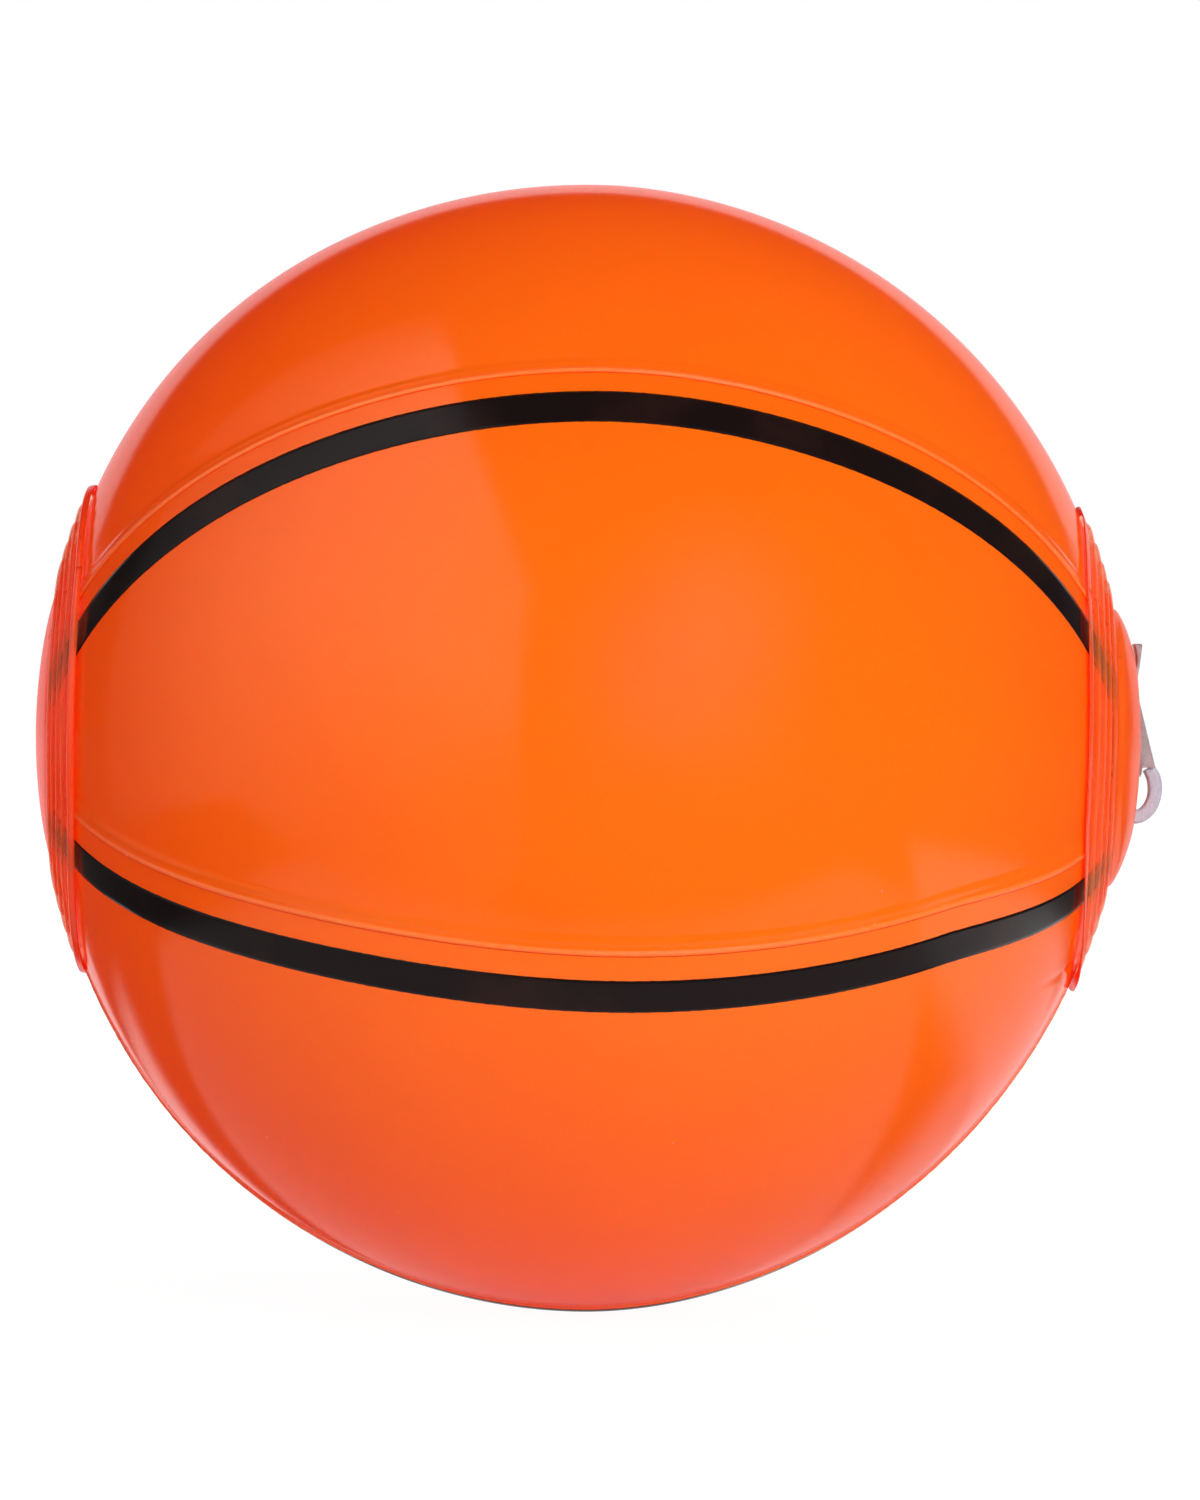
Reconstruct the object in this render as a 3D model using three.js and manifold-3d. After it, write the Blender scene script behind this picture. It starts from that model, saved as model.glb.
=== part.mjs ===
// Inflatable beach ball of printed vinyl film: six lapped panels, a welded disc over each pole,
// and a soft push-in valve with a plug, a check flap and a strap.
// Millimetres. +X runs along the pole axis to the valve, +Z is up, the origin is the ball's middle.

import * as THREE from 'three';
import { mergeVertices } from 'three/addons/utils/BufferGeometryUtils.js';
import Module from 'manifold-3d';

const wasm = await Module();
wasm.setup();

// Blown-up shape of the ball, measured to the inside of the film
const BALL_RADIUS = 139.3;
const PANEL_BULGE = 1.5;
const VALVE_END_DROP = 8.0;
const VALVE_END_POWER = 1.3;
const PLAIN_END_DROP = 4.2;
const PLAIN_END_POWER = 6;
const PLAIN_END_SWELL = 1.7;
const BELLY_SAG = 3.2;

// Space left between two layers that touch
const CLEARANCE = 0.3;

// Panels and their lapped seams
const PANEL_COUNT = 6;
const PANEL_FILM = 0.25;
const FIRST_SEAM_TURN = 40.4;
const SEAM_LAP = 4.0;
const LAP_STEP = 1.5;
const PANEL_TRIM = 0.8;

// Printed stripe below the upper seam of each panel
const STRIPE_OFFSET = 8.0;
const STRIPE_WIDTH = 8.0;
const STRIPE_INK = 0.12;

// Discs welded over the two poles, with pressed weld rings
const CAP_RADIUS = 60.6;
const CAP_FILM = 0.3;
const RIDGE_COUNT = 5;
const RIDGE_PITCH = 4.7;
const RIDGE_HEIGHT = 0.75;
const DOME_MARGIN = 2.1;
const PLAIN_DOME_RISE = 1.2;
const VALVE_DOME_RISE = 4.3;

// Hollow that the valve is pushed into, flat over the flange and drawn out upwards and downwards
const HOLLOW_DEPTH = 5.4;
const HOLLOW_SLOPE_HEIGHT = 12;
const HOLLOW_SLOPE_WIDTH = 8;

// Valve: welded flange, folding web, stem with its collar, and check flap
const BORE_RADIUS = 3.8;
const STEM_WALL = 2.2;
const STEM_DEPTH = 20;
const COLLAR_MARGIN = 0.5;
const COLLAR_THICKNESS = 1.8;
const WEB_FILM = 0.5;
const WEB_FOLD_GAP = 1.2;
const WEB_DEPTH = 10;
const FLANGE_WIDTH = 3.2;
const FLANGE_THICKNESS = 1.0;
const FLAP_THICKNESS = 0.8;
const FLAP_OVERLAP = 1.4;

// Plug with its grip, slanted plate and pull tab
const PIN_LENGTH = 12.4;
const PIN_TIP = 1.2;
const GRIP_RADIUS = 7.3;
const GRIP_HEIGHT = 2.6;
const PLATE_WIDTH = 9.0;
const PLATE_LOW_REACH = 6.1;
const PLATE_LOW_END = 5.0;
const PLATE_BEND_HEIGHT = 15.1;
const PLATE_BEND_THICKNESS = 1.7;
const TAB_HEIGHT = 25.9;
const TAB_TIP_THICKNESS = 2.4;
const TAB_NECK_THICKNESS = 0.9;
const SOFT_EDGE = 0.35;

// Strap from the collar to the plug, with an oval loop; it and the tab lie just clear of the disc
const STRAP_WIDTH = 6.0;
const STRAP_ROOT_THICKNESS = 1.5;
const LOOP_THICKNESS = 3.5;
const LOOP_REACH = 10.3;
const LOOP_DROP = 19.1;
const LOOP_CENTRE_REACH = 3.4;
const LOOP_CENTRE_DROP = 10.5;
const LYING_GAP = 0.5;

// Fineness of the facets
const PANEL_ROWS = 18;
const PANEL_STEPS = 4;
const CAP_SEGMENTS = 36;
const CAP_DOME_RINGS = 8;
const TAB_STEPS = 5;
const FOLD_STEPS = 4;
const LOOP_STEPS = 6;
const VALVE_SEGMENTS = 24;

// Rounds in which a polar angle is found, and the distance within which corners are one
const POLAR_ROUNDS = 6;
const WELD_DISTANCE = 1e-4;

// Sizes worked out from the ones above
const PANEL_TURN = (2 * Math.PI) / PANEL_COUNT;
const SEAM_RISE = PANEL_FILM + CLEARANCE;
const CAP_SEAT = 2 * SEAM_RISE;
const POLE_RISE = BELLY_SAG / 2;
const INNER_RIDGE_RADIUS = CAP_RADIUS - (RIDGE_COUNT - 1) * RIDGE_PITCH;
const DOME_RADIUS = INNER_RIDGE_RADIUS - RIDGE_PITCH - DOME_MARGIN;
const STEM_RADIUS = BORE_RADIUS + STEM_WALL;
const PIN_RADIUS = BORE_RADIUS - CLEARANCE;
const WEB_INNER_RADIUS = STEM_RADIUS + CLEARANCE;
const WEB_OUTER_RADIUS = WEB_INNER_RADIUS + 2 * WEB_FILM + WEB_FOLD_GAP;
const HOLE_RADIUS = WEB_OUTER_RADIUS + CLEARANCE;
const COLLAR_RADIUS = HOLE_RADIUS + COLLAR_MARGIN;
const FLANGE_RADIUS = HOLE_RADIUS + FLANGE_WIDTH;
const FLANGE_TOP = -CAP_FILM - CLEARANCE;
const COLLAR_TOP = CLEARANCE + COLLAR_THICKNESS;
const PLUG_SEAT = COLLAR_TOP + CLEARANCE;
const GRIP_TOP = PLUG_SEAT + GRIP_HEIGHT;
const PLATE_TOP = PLUG_SEAT + PLATE_LOW_REACH;

const VALVE_END = 1;
const PLAIN_END = -1;

/** Distance from the ball's middle to the inside of the film, in the direction of two angles. */
function filmRadius(polar, turn) {
  const along = Math.cos(polar);
  const drop = along > 0
    ? VALVE_END_DROP * along ** VALVE_END_POWER
    : PLAIN_END_DROP * (-along) ** PLAIN_END_POWER + PLAIN_END_SWELL * along;
  const panels = (turn - THREE.MathUtils.degToRad(FIRST_SEAM_TURN)) / PANEL_TURN;
  const across = 2 * (panels - Math.floor(panels)) - 1;
  return BALL_RADIUS - drop + PANEL_BULGE * (1 - across ** 2) * Math.sin(polar) ** 2;
}

/** Point on the ball: polar angle from the valve pole, turn about +X from the front, height over the film. */
function ballPoint(polar, turn, lift) {
  const radius = filmRadius(polar, turn) + lift;
  const reach = radius * Math.sin(polar);
  const sag = BELLY_SAG * (0.5 - Math.sin(polar) ** 2);
  return new THREE.Vector3(radius * Math.cos(polar), -reach * Math.cos(turn), reach * Math.sin(turn) + sag);
}

/** Polar angle at which a layer lies at the given distance from the pole axis. */
function polarAt(end, reach, turn, lift) {
  let fromPole = Math.asin(reach / BALL_RADIUS);
  for (let round = 0; round < POLAR_ROUNDS; round += 1) {
    const polar = end === VALVE_END ? fromPole : Math.PI - fromPole;
    fromPole = Math.asin(reach / (filmRadius(polar, turn) + lift));
  }
  return end === VALVE_END ? fromPole : Math.PI - fromPole;
}

const POLE_FILM_X = filmRadius(0, 0) + CAP_SEAT + CAP_FILM + VALVE_DOME_RISE;
const VALVE_FLOOR_X = POLE_FILM_X - HOLLOW_DEPTH;

/** How far the dome inside the weld rings stands over the disc's flat level. */
function domeLift(end, reach) {
  const rise = end === VALVE_END ? VALVE_DOME_RISE : PLAIN_DOME_RISE;
  return rise * Math.sqrt(Math.max(0, 1 - (reach / DOME_RADIUS) ** 2));
}

/** Point of an end disc; under is 0 on its outer face and the film's thickness on its inner face. */
function capPoint(end, reach, turn, ridge, under) {
  const lift = CAP_SEAT + CAP_FILM + ridge + domeLift(end, reach) - under;
  const point = ballPoint(polarAt(end, reach, turn, lift), turn, lift);
  if (end === VALVE_END) {
    const slope = Math.hypot(Math.cos(turn) * HOLLOW_SLOPE_WIDTH, Math.sin(turn) * HOLLOW_SLOPE_HEIGHT);
    const climb = THREE.MathUtils.smoothstep(reach, FLANGE_RADIUS, FLANGE_RADIUS + slope);
    point.x = THREE.MathUtils.lerp(VALVE_FLOOR_X - under, point.x, climb);
  }
  return point;
}

/** Level over the hollow's floor at which a strip of some width lies on the disc, at a height over the valve. */
function lyingLevel(height, width) {
  const levels = [0, width / 2].map((across) => (
    capPoint(VALVE_END, Math.hypot(across, height), Math.atan2(height, -across), 0, 0).x
  ));
  return Math.max(...levels) - VALVE_FLOOR_X + LYING_GAP;
}

/** Same surface with shared corners, no collapsed triangles and its faces pointing out. */
function closedGeometry(source) {
  const bare = new THREE.BufferGeometry();
  bare.setAttribute('position', source.getAttribute('position').clone());
  if (source.index) bare.setIndex(Array.from(source.index.array));
  const welded = mergeVertices(bare, WELD_DISTANCE);
  const place = welded.getAttribute('position');
  const corner = [new THREE.Vector3(), new THREE.Vector3(), new THREE.Vector3()];
  const kept = [];
  let volume = 0;
  for (let start = 0; start < welded.index.count; start += 3) {
    const [a, b, c] = [0, 1, 2].map((step) => welded.index.getX(start + step));
    if (a === b || b === c || c === a) continue;
    [a, b, c].forEach((vertex, slot) => corner[slot].fromBufferAttribute(place, vertex));
    volume += corner[0].dot(corner[1].clone().cross(corner[2]));
    kept.push([a, b, c]);
  }
  welded.setIndex(kept.flatMap(([a, b, c]) => (volume > 0 ? [a, b, c] : [a, c, b])));
  return welded;
}

/** Closed sheet from rows of points on its two faces; wrapped rows join end to start. */
function sheetGeometry(rows, wrapped) {
  const width = rows[0].length;
  const corners = rows.flatMap((row) => row.flatMap(({ outer, inner }) => [...outer.toArray(), ...inner.toArray()]));
  const outer = (row, column) => 2 * (row * width + (column % width));
  const inner = (row, column) => outer(row, column) + 1;
  const faces = [];
  const quad = (a, b, c, d) => faces.push(a, b, c, a, c, d);
  const last = rows.length - 1;
  const spans = wrapped ? width : width - 1;
  for (let row = 0; row < last; row += 1) {
    for (let column = 0; column < spans; column += 1) {
      quad(outer(row, column), outer(row + 1, column), outer(row + 1, column + 1), outer(row, column + 1));
      quad(inner(row, column), inner(row, column + 1), inner(row + 1, column + 1), inner(row + 1, column));
    }
  }
  for (let column = 0; column < spans; column += 1) {
    quad(outer(0, column), outer(0, column + 1), inner(0, column + 1), inner(0, column));
    quad(outer(last, column), inner(last, column), inner(last, column + 1), outer(last, column + 1));
  }
  for (let row = 0; row < last && !wrapped; row += 1) {
    quad(outer(row, 0), inner(row, 0), inner(row + 1, 0), outer(row + 1, 0));
    quad(outer(row, spans), outer(row + 1, spans), inner(row + 1, spans), inner(row, spans));
  }
  const geometry = new THREE.BufferGeometry();
  geometry.setAttribute('position', new THREE.Float32BufferAttribute(corners, 3));
  geometry.setIndex(faces);
  return closedGeometry(geometry);
}

/** Ring or pin turned about +X from points given as distance along the axis and radius. */
function turnedGeometry(points, closed) {
  const loop = closed ? [...points, points[0]] : points;
  const lathe = new THREE.LatheGeometry(loop.map(([along, radius]) => new THREE.Vector2(radius, along)), VALVE_SEGMENTS);
  return closedGeometry(lathe.rotateZ(-Math.PI / 2));
}

/** Strip cut to a side view in the plane of +X and +Z and as wide as given across it. */
function stripGeometry(outline, width, edge) {
  const strip = new THREE.ExtrudeGeometry(outline, {
    depth: width - 2 * edge,
    bevelEnabled: true,
    bevelThickness: edge,
    bevelSize: edge,
    bevelOffset: -edge,
    bevelSegments: 1,
    curveSegments: LOOP_STEPS,
  });
  return closedGeometry(strip.translate(0, 0, edge - width / 2).rotateX(Math.PI / 2));
}

/** Solid that joins several closed shapes. */
function joined(...shapes) {
  const solids = shapes.map((shape) => new wasm.Manifold(new wasm.Mesh({
    numProp: 3,
    vertProperties: Float32Array.from(shape.getAttribute('position').array),
    triVerts: Uint32Array.from(shape.index.array),
  })));
  const whole = solids.reduce((sum, solid) => sum.add(solid)).getMesh();
  const geometry = new THREE.BufferGeometry();
  geometry.setAttribute('position', new THREE.BufferAttribute(whole.vertProperties, 3));
  geometry.setIndex(Array.from(whole.triVerts));
  return closedGeometry(geometry);
}

/** Rows of polar angles shared by the panels and their stripes, from the valve end to the plain end. */
function panelPolars(turn) {
  const end = INNER_RIDGE_RADIUS - PANEL_TRIM;
  const first = polarAt(VALVE_END, end, turn, 0);
  const last = polarAt(PLAIN_END, end, turn, 0);
  return Array.from({ length: PANEL_ROWS }, (_, row) => first + ((last - first) * row) / (PANEL_ROWS - 1));
}

/** Sheet on the ball whose columns give their turn and their lift at each polar angle. */
function ballSheet(seamTurn, columnsAt, thickness) {
  const rows = panelPolars(seamTurn).map((polar) => {
    const turnPerLength = 1 / (filmRadius(polar, seamTurn) * Math.sin(polar));
    return columnsAt(turnPerLength).map(({ turn, lift }) => ({
      outer: ballPoint(polar, turn, lift + thickness),
      inner: ballPoint(polar, turn, lift),
    }));
  });
  return sheetGeometry(rows, false);
}

/** Panel below one seam: its upper edge runs under the panel above, its lower edge laps the next one. */
function panelGeometry(seamTurn) {
  return ballSheet(seamTurn, (turnPerLength) => {
    const lap = SEAM_LAP * turnPerLength;
    const step = LAP_STEP * turnPerLength;
    const nextSeam = seamTurn - PANEL_TURN;
    const stripeTop = seamTurn - STRIPE_OFFSET * turnPerLength;
    const stripeEnd = stripeTop - STRIPE_WIDTH * turnPerLength;
    const middle = Array.from({ length: PANEL_STEPS }, (_, index) => ({
      turn: THREE.MathUtils.lerp(stripeEnd, nextSeam + lap + step, (index + 1) / PANEL_STEPS),
      lift: 0,
    }));
    return [
      { turn: seamTurn + lap, lift: 0 },
      { turn: seamTurn, lift: 0 },
      { turn: stripeTop, lift: 0 },
      { turn: stripeEnd, lift: 0 },
      ...middle,
      { turn: nextSeam + lap, lift: SEAM_RISE },
      { turn: nextSeam, lift: SEAM_RISE },
    ];
  }, PANEL_FILM);
}

/** Ink of the printed stripe, a thin band that follows the panel's upper seam. */
function stripeGeometry(seamTurn) {
  return ballSheet(seamTurn, (turnPerLength) => [
    { turn: seamTurn - STRIPE_OFFSET * turnPerLength, lift: SEAM_RISE },
    { turn: seamTurn - (STRIPE_OFFSET + STRIPE_WIDTH) * turnPerLength, lift: SEAM_RISE },
  ], STRIPE_INK);
}

/** Radii and ridge heights of a disc's rings, from its rim inwards. */
function capRings(innerRadius) {
  const rings = [];
  for (let ridge = 0; ridge < RIDGE_COUNT; ridge += 1) {
    const crest = CAP_RADIUS - ridge * RIDGE_PITCH;
    rings.push({ reach: crest, ridge: RIDGE_HEIGHT }, { reach: crest - RIDGE_PITCH / 2, ridge: 0 });
  }
  const lastAngle = Math.acos(innerRadius / DOME_RADIUS);
  for (let ring = 0; ring <= CAP_DOME_RINGS; ring += 1) {
    rings.push({ reach: DOME_RADIUS * Math.cos((lastAngle * ring) / CAP_DOME_RINGS), ridge: 0 });
  }
  return rings;
}

/** Disc welded over one pole, whole at the plain end and with a hole at the valve end. */
function capGeometry(end) {
  const firstTurn = THREE.MathUtils.degToRad(FIRST_SEAM_TURN);
  const rows = capRings(end === VALVE_END ? HOLE_RADIUS : 0).map(({ reach, ridge }) => (
    Array.from({ length: CAP_SEGMENTS }, (_, index) => {
      const turn = firstTurn + (2 * Math.PI * index) / CAP_SEGMENTS;
      return { outer: capPoint(end, reach, turn, ridge, 0), inner: capPoint(end, reach, turn, ridge, CAP_FILM) };
    })
  ));
  return sheetGeometry(rows, true);
}

/** Flat ring welded inside the valve disc, round the hole. */
function flangeGeometry() {
  return turnedGeometry([
    [FLANGE_TOP, HOLE_RADIUS],
    [FLANGE_TOP, FLANGE_RADIUS],
    [FLANGE_TOP - FLANGE_THICKNESS, FLANGE_RADIUS],
    [FLANGE_TOP - FLANGE_THICKNESS, HOLE_RADIUS],
  ], true);
}

/** Thin sleeve folded back on itself, which rolls out as the stem is pulled. */
function webGeometry() {
  const innerFold = WEB_FOLD_GAP / 2;
  const outerFold = innerFold + WEB_FILM;
  const middle = WEB_INNER_RADIUS + outerFold;
  const foldStart = FLANGE_TOP - WEB_DEPTH + outerFold;
  const halfTurn = (radius, from, to) => Array.from({ length: FOLD_STEPS + 1 }, (_, index) => {
    const angle = THREE.MathUtils.lerp(from, to, index / FOLD_STEPS);
    return [foldStart - radius * Math.sin(angle), middle + radius * Math.cos(angle)];
  });
  return turnedGeometry([
    [FLANGE_TOP, middle + innerFold],
    [FLANGE_TOP, middle + outerFold],
    ...halfTurn(outerFold, 0, Math.PI),
    [FLANGE_TOP, middle - outerFold],
    [FLANGE_TOP, middle - innerFold],
    ...halfTurn(innerFold, Math.PI, 0),
  ], true);
}

/** Tube that the ball is blown up through, with the collar that rests over the hole. */
function stemGeometry() {
  return turnedGeometry([
    [COLLAR_TOP, BORE_RADIUS],
    [COLLAR_TOP, COLLAR_RADIUS - SOFT_EDGE],
    [COLLAR_TOP - SOFT_EDGE, COLLAR_RADIUS],
    [CLEARANCE, COLLAR_RADIUS],
    [CLEARANCE, STEM_RADIUS],
    [-STEM_DEPTH, STEM_RADIUS],
    [-STEM_DEPTH, BORE_RADIUS],
  ], true);
}

/** Soft flap over the stem's inner end, hinged at its upper edge, from which it hangs shut. */
function flapGeometry() {
  const outline = new THREE.Shape();
  outline.absarc(0, 0, BORE_RADIUS + FLAP_OVERLAP, 0, 2 * Math.PI, false);
  const disc = new THREE.ExtrudeGeometry(outline, {
    depth: FLAP_THICKNESS,
    bevelEnabled: false,
    curveSegments: VALVE_SEGMENTS / 2,
  });
  return closedGeometry(disc.rotateY(-Math.PI / 2).translate(-STEM_DEPTH - CLEARANCE, 0, 0));
}

/** Side view of the plug's slanted plate and its pull tab, which follows the disc below it. */
function plateOutline() {
  const under = Array.from({ length: TAB_STEPS + 1 }, (_, index) => {
    const height = THREE.MathUtils.lerp(TAB_HEIGHT, PLATE_BEND_HEIGHT, index / TAB_STEPS);
    return [lyingLevel(height, PLATE_WIDTH), height];
  });
  const neckHeight = (PLATE_BEND_HEIGHT + TAB_HEIGHT) / 2;
  const neckLevel = lyingLevel(neckHeight, PLATE_WIDTH) + TAB_NECK_THICKNESS;
  const outline = new THREE.Shape();
  outline.moveTo(PLATE_TOP, -PLATE_LOW_END);
  outline.lineTo(under.at(-1)[0] + PLATE_BEND_THICKNESS, PLATE_BEND_HEIGHT);
  outline.lineTo(neckLevel, neckHeight);
  outline.lineTo(under[0][0] + TAB_TIP_THICKNESS, TAB_HEIGHT);
  under.forEach(([level, height]) => outline.lineTo(level, height));
  outline.lineTo(PLUG_SEAT, COLLAR_RADIUS);
  outline.lineTo(PLUG_SEAT + GRIP_HEIGHT / 2, -PLATE_LOW_END);
  return outline;
}

/** Plug: round-nosed pin, round grip, slanted plate and pull tab in one piece. */
function plugGeometry() {
  const pinEnd = PLUG_SEAT - PIN_LENGTH;
  const pin = turnedGeometry([
    [GRIP_TOP, 0],
    [GRIP_TOP, GRIP_RADIUS - SOFT_EDGE],
    [GRIP_TOP - SOFT_EDGE, GRIP_RADIUS],
    [PLUG_SEAT, GRIP_RADIUS],
    [PLUG_SEAT, PIN_RADIUS],
    [pinEnd + PIN_TIP, PIN_RADIUS],
    [pinEnd, PIN_RADIUS - PIN_TIP],
    [pinEnd, 0],
  ], false);
  return joined(pin, stripGeometry(plateOutline(), PLATE_WIDTH, SOFT_EDGE));
}

/** Side view of the strap: out of the collar, along the hollow, round the loop and up to the plate. */
function strapOutline() {
  const root = -COLLAR_RADIUS - CLEARANCE;
  const end = -PLATE_LOW_END - CLEARANCE;
  const outerWidth = LOOP_REACH - LOOP_CENTRE_REACH;
  const outerHeight = LOOP_DROP - LOOP_CENTRE_DROP;
  const innerWidth = outerWidth - LOOP_THICKNESS;
  const innerHeight = outerHeight - LOOP_THICKNESS;
  const lowArm = LOOP_THICKNESS / 2 - LOOP_DROP;
  const highArm = root - LOOP_THICKNESS;
  const outline = new THREE.Shape();
  outline.moveTo(PLATE_TOP, end);
  outline.quadraticCurveTo(LOOP_REACH, (end - LOOP_CENTRE_DROP) / 2, LOOP_REACH, -LOOP_CENTRE_DROP);
  outline.absellipse(LOOP_CENTRE_REACH, -LOOP_CENTRE_DROP, outerWidth, outerHeight, 0, -Math.PI / 2, true);
  outline.lineTo(lyingLevel(lowArm, STRAP_WIDTH), lowArm);
  outline.lineTo(lyingLevel(highArm, STRAP_WIDTH), highArm);
  outline.lineTo(CLEARANCE, root);
  outline.lineTo(CLEARANCE + STRAP_ROOT_THICKNESS, root);
  outline.lineTo(lyingLevel(highArm, STRAP_WIDTH) + STRAP_ROOT_THICKNESS, highArm);
  outline.absellipse(LOOP_CENTRE_REACH, -LOOP_CENTRE_DROP, innerWidth, innerHeight, -Math.PI / 2, 0, false);
  outline.quadraticCurveTo(LOOP_CENTRE_REACH + innerWidth, (end - LOOP_CENTRE_DROP) / 2, GRIP_TOP + CLEARANCE, end);
  return outline;
}

/** Strap that keeps the plug on the valve. */
function strapGeometry() {
  return stripGeometry(strapOutline(), STRAP_WIDTH, SOFT_EDGE);
}

/** Finish shared by the pieces of one material. */
function vinyl(color, roughness, opacity = 1) {
  return new THREE.MeshStandardMaterial({ color, roughness, metalness: 0, opacity, transparent: opacity < 1 });
}

/** Named mesh with its own material. */
function piece(name, geometry, material) {
  const mesh = new THREE.Mesh(geometry, material);
  mesh.name = name;
  return mesh;
}

/** Panels and stripes, one of each below every seam. */
function buildSkin() {
  const skin = new THREE.Group();
  for (let index = 0; index < PANEL_COUNT; index += 1) {
    const seamTurn = THREE.MathUtils.degToRad(FIRST_SEAM_TURN) - index * PANEL_TURN;
    skin.add(piece(`panel_${index + 1}`, panelGeometry(seamTurn), vinyl('#f56418', 0.3)));
    skin.add(piece(`stripe_${index + 1}`, stripeGeometry(seamTurn), vinyl('#2a1b18', 0.35)));
  }
  return skin;
}

/** Welded discs over the two poles. */
function buildCaps() {
  const caps = new THREE.Group();
  caps.add(piece('plain_cap', capGeometry(PLAIN_END), vinyl('#e4471f', 0.28, 0.85)));
  caps.add(piece('valve_cap', capGeometry(VALVE_END), vinyl('#ec5824', 0.28, 0.85)));
  return caps;
}

/** Valve and plug, placed on the floor of the hollow at the valve pole. */
function buildValve() {
  const valve = new THREE.Group();
  valve.position.set(VALVE_FLOOR_X, 0, POLE_RISE);
  valve.add(piece('valve_flange', flangeGeometry(), vinyl('#d9c9c4', 0.25, 0.7)));
  valve.add(piece('valve_web', webGeometry(), vinyl('#e0d2cc', 0.25, 0.6)));
  valve.add(piece('valve_stem', stemGeometry(), vinyl('#d8c8c4', 0.2, 0.7)));
  valve.add(piece('check_flap', flapGeometry(), vinyl('#ddd3d0', 0.3, 0.7)));
  valve.add(piece('valve_plug', plugGeometry(), vinyl('#c9a8a8', 0.2, 0.7)));
  valve.add(piece('plug_strap', strapGeometry(), vinyl('#d9d7e2', 0.25, 0.8)));
  return valve;
}

const ball = new THREE.Group();
ball.add(buildSkin(), buildCaps(), buildValve());

export default ball;
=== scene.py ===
"""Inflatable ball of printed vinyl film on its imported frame: panels, stripes, end discs and valve."""

import logging
import math
from collections.abc import Callable
from dataclasses import dataclass, field
from enum import Enum
from functools import partial

import bmesh
import bpy
from bmesh.types import BMesh
from bpy.types import Material, Node, Object
from bpy.types import NodeSocket as Socket
from mathutils import Matrix, Vector, noise


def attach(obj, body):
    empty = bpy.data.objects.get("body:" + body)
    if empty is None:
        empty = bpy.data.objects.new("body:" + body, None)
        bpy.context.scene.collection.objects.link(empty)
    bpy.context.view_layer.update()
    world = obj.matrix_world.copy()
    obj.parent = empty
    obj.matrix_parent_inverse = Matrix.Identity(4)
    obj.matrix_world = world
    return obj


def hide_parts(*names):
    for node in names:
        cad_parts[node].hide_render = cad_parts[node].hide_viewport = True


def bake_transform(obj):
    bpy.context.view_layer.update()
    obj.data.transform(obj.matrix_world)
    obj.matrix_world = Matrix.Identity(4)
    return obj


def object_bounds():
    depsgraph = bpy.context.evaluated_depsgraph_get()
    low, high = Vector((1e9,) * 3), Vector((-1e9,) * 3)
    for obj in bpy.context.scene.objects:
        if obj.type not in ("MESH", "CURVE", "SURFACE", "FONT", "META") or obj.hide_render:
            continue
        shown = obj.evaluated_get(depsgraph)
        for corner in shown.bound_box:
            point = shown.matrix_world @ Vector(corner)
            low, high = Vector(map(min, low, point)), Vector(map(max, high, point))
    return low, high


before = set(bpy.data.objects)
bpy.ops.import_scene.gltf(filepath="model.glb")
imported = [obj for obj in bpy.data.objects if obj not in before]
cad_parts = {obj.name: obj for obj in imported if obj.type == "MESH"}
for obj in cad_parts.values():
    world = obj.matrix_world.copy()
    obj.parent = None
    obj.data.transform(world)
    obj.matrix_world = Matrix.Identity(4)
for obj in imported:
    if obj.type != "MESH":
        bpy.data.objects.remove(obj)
cad_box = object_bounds()

log = logging.getLogger("ball")
MM = 0.001
UV_NAME = "along_edge"
SHARP_DEGREES = 40.0
EDGE_SEGMENTS = 3
MERGE_DISTANCE = 0.01 * MM
TUBE_MERGE_DISTANCE = 0.005 * MM
RELAX_FACTOR = 0.5
ORIGIN = (0.0, 0.0, 0.0)
KEY_LAMP_PLACE = (0.92, -2.27, 0.60)
KEY_LAMP_REACH = 1.5
KEY_LAMP_GLOW = 7.3
LEFT_PANEL_UPWARDS = (-0.5, 0.6)
LEFT_PANEL_LOW_GLOW = 0.22
LEFT_PANEL_TALL_GLOW = 0.82
LEFT_PANEL_BACKWARDS = (-0.35, 0.34)
LEFT_PANEL_BACK_LOSS = 0.85
LEFT_PANEL_NEAR_END = (-2.5, -0.5)
LEFT_PANEL_NEAR_GLOW = 0.75
RIGHT_LAMP_PLACE = (0.93, -1.35, 0.95)
RIGHT_LAMP_FADE = (0.05, 0.82)
RIGHT_LAMP_GLOW = 0.36
FLOOR_DROP = 0.6 * MM

Triple = tuple[float, float, float]
Colour = tuple[float, float, float, float]
Span = tuple[float, float]
Place = Callable[[float, float], Vector]
Chart = Callable[[float, float], Span]


class Body(Enum):
    """Bodies of the frame that the pieces ride on."""

    BALL = "ball"
    STEM = "stem"
    PLUG = "plug"
    FLAP = "flap"


class Slot(Enum):
    """Material slots that the pieces' finishes stand for."""

    PANEL = "panel_film"
    STRIPE = "stripe_ink"
    DISC = "cap_film"
    CLEAR = "clear_vinyl"
    PLUG = "plug_vinyl"
    STRAP = "milky_vinyl"


class End(Enum):
    """Poles of the ball, by the sign of their X."""

    VALVE = 1
    PLAIN = -1


def smooth_step(value: float, low: float, high: float) -> float:
    """Share from 0 at low to 1 at high, level at both."""
    share = min(1.0, max(0.0, (value - low) / (high - low)))
    return share * share * (3 - 2 * share)


def between(first: float, last: float, share: float) -> float:
    """Number at a share of the way from first to last."""
    return first + (last - first) * share


def bell(distance: float, width: float) -> float:
    """Height of a bell curve at a distance from its middle, where it is 1."""
    return math.exp(-((distance / width) ** 2))


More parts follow.
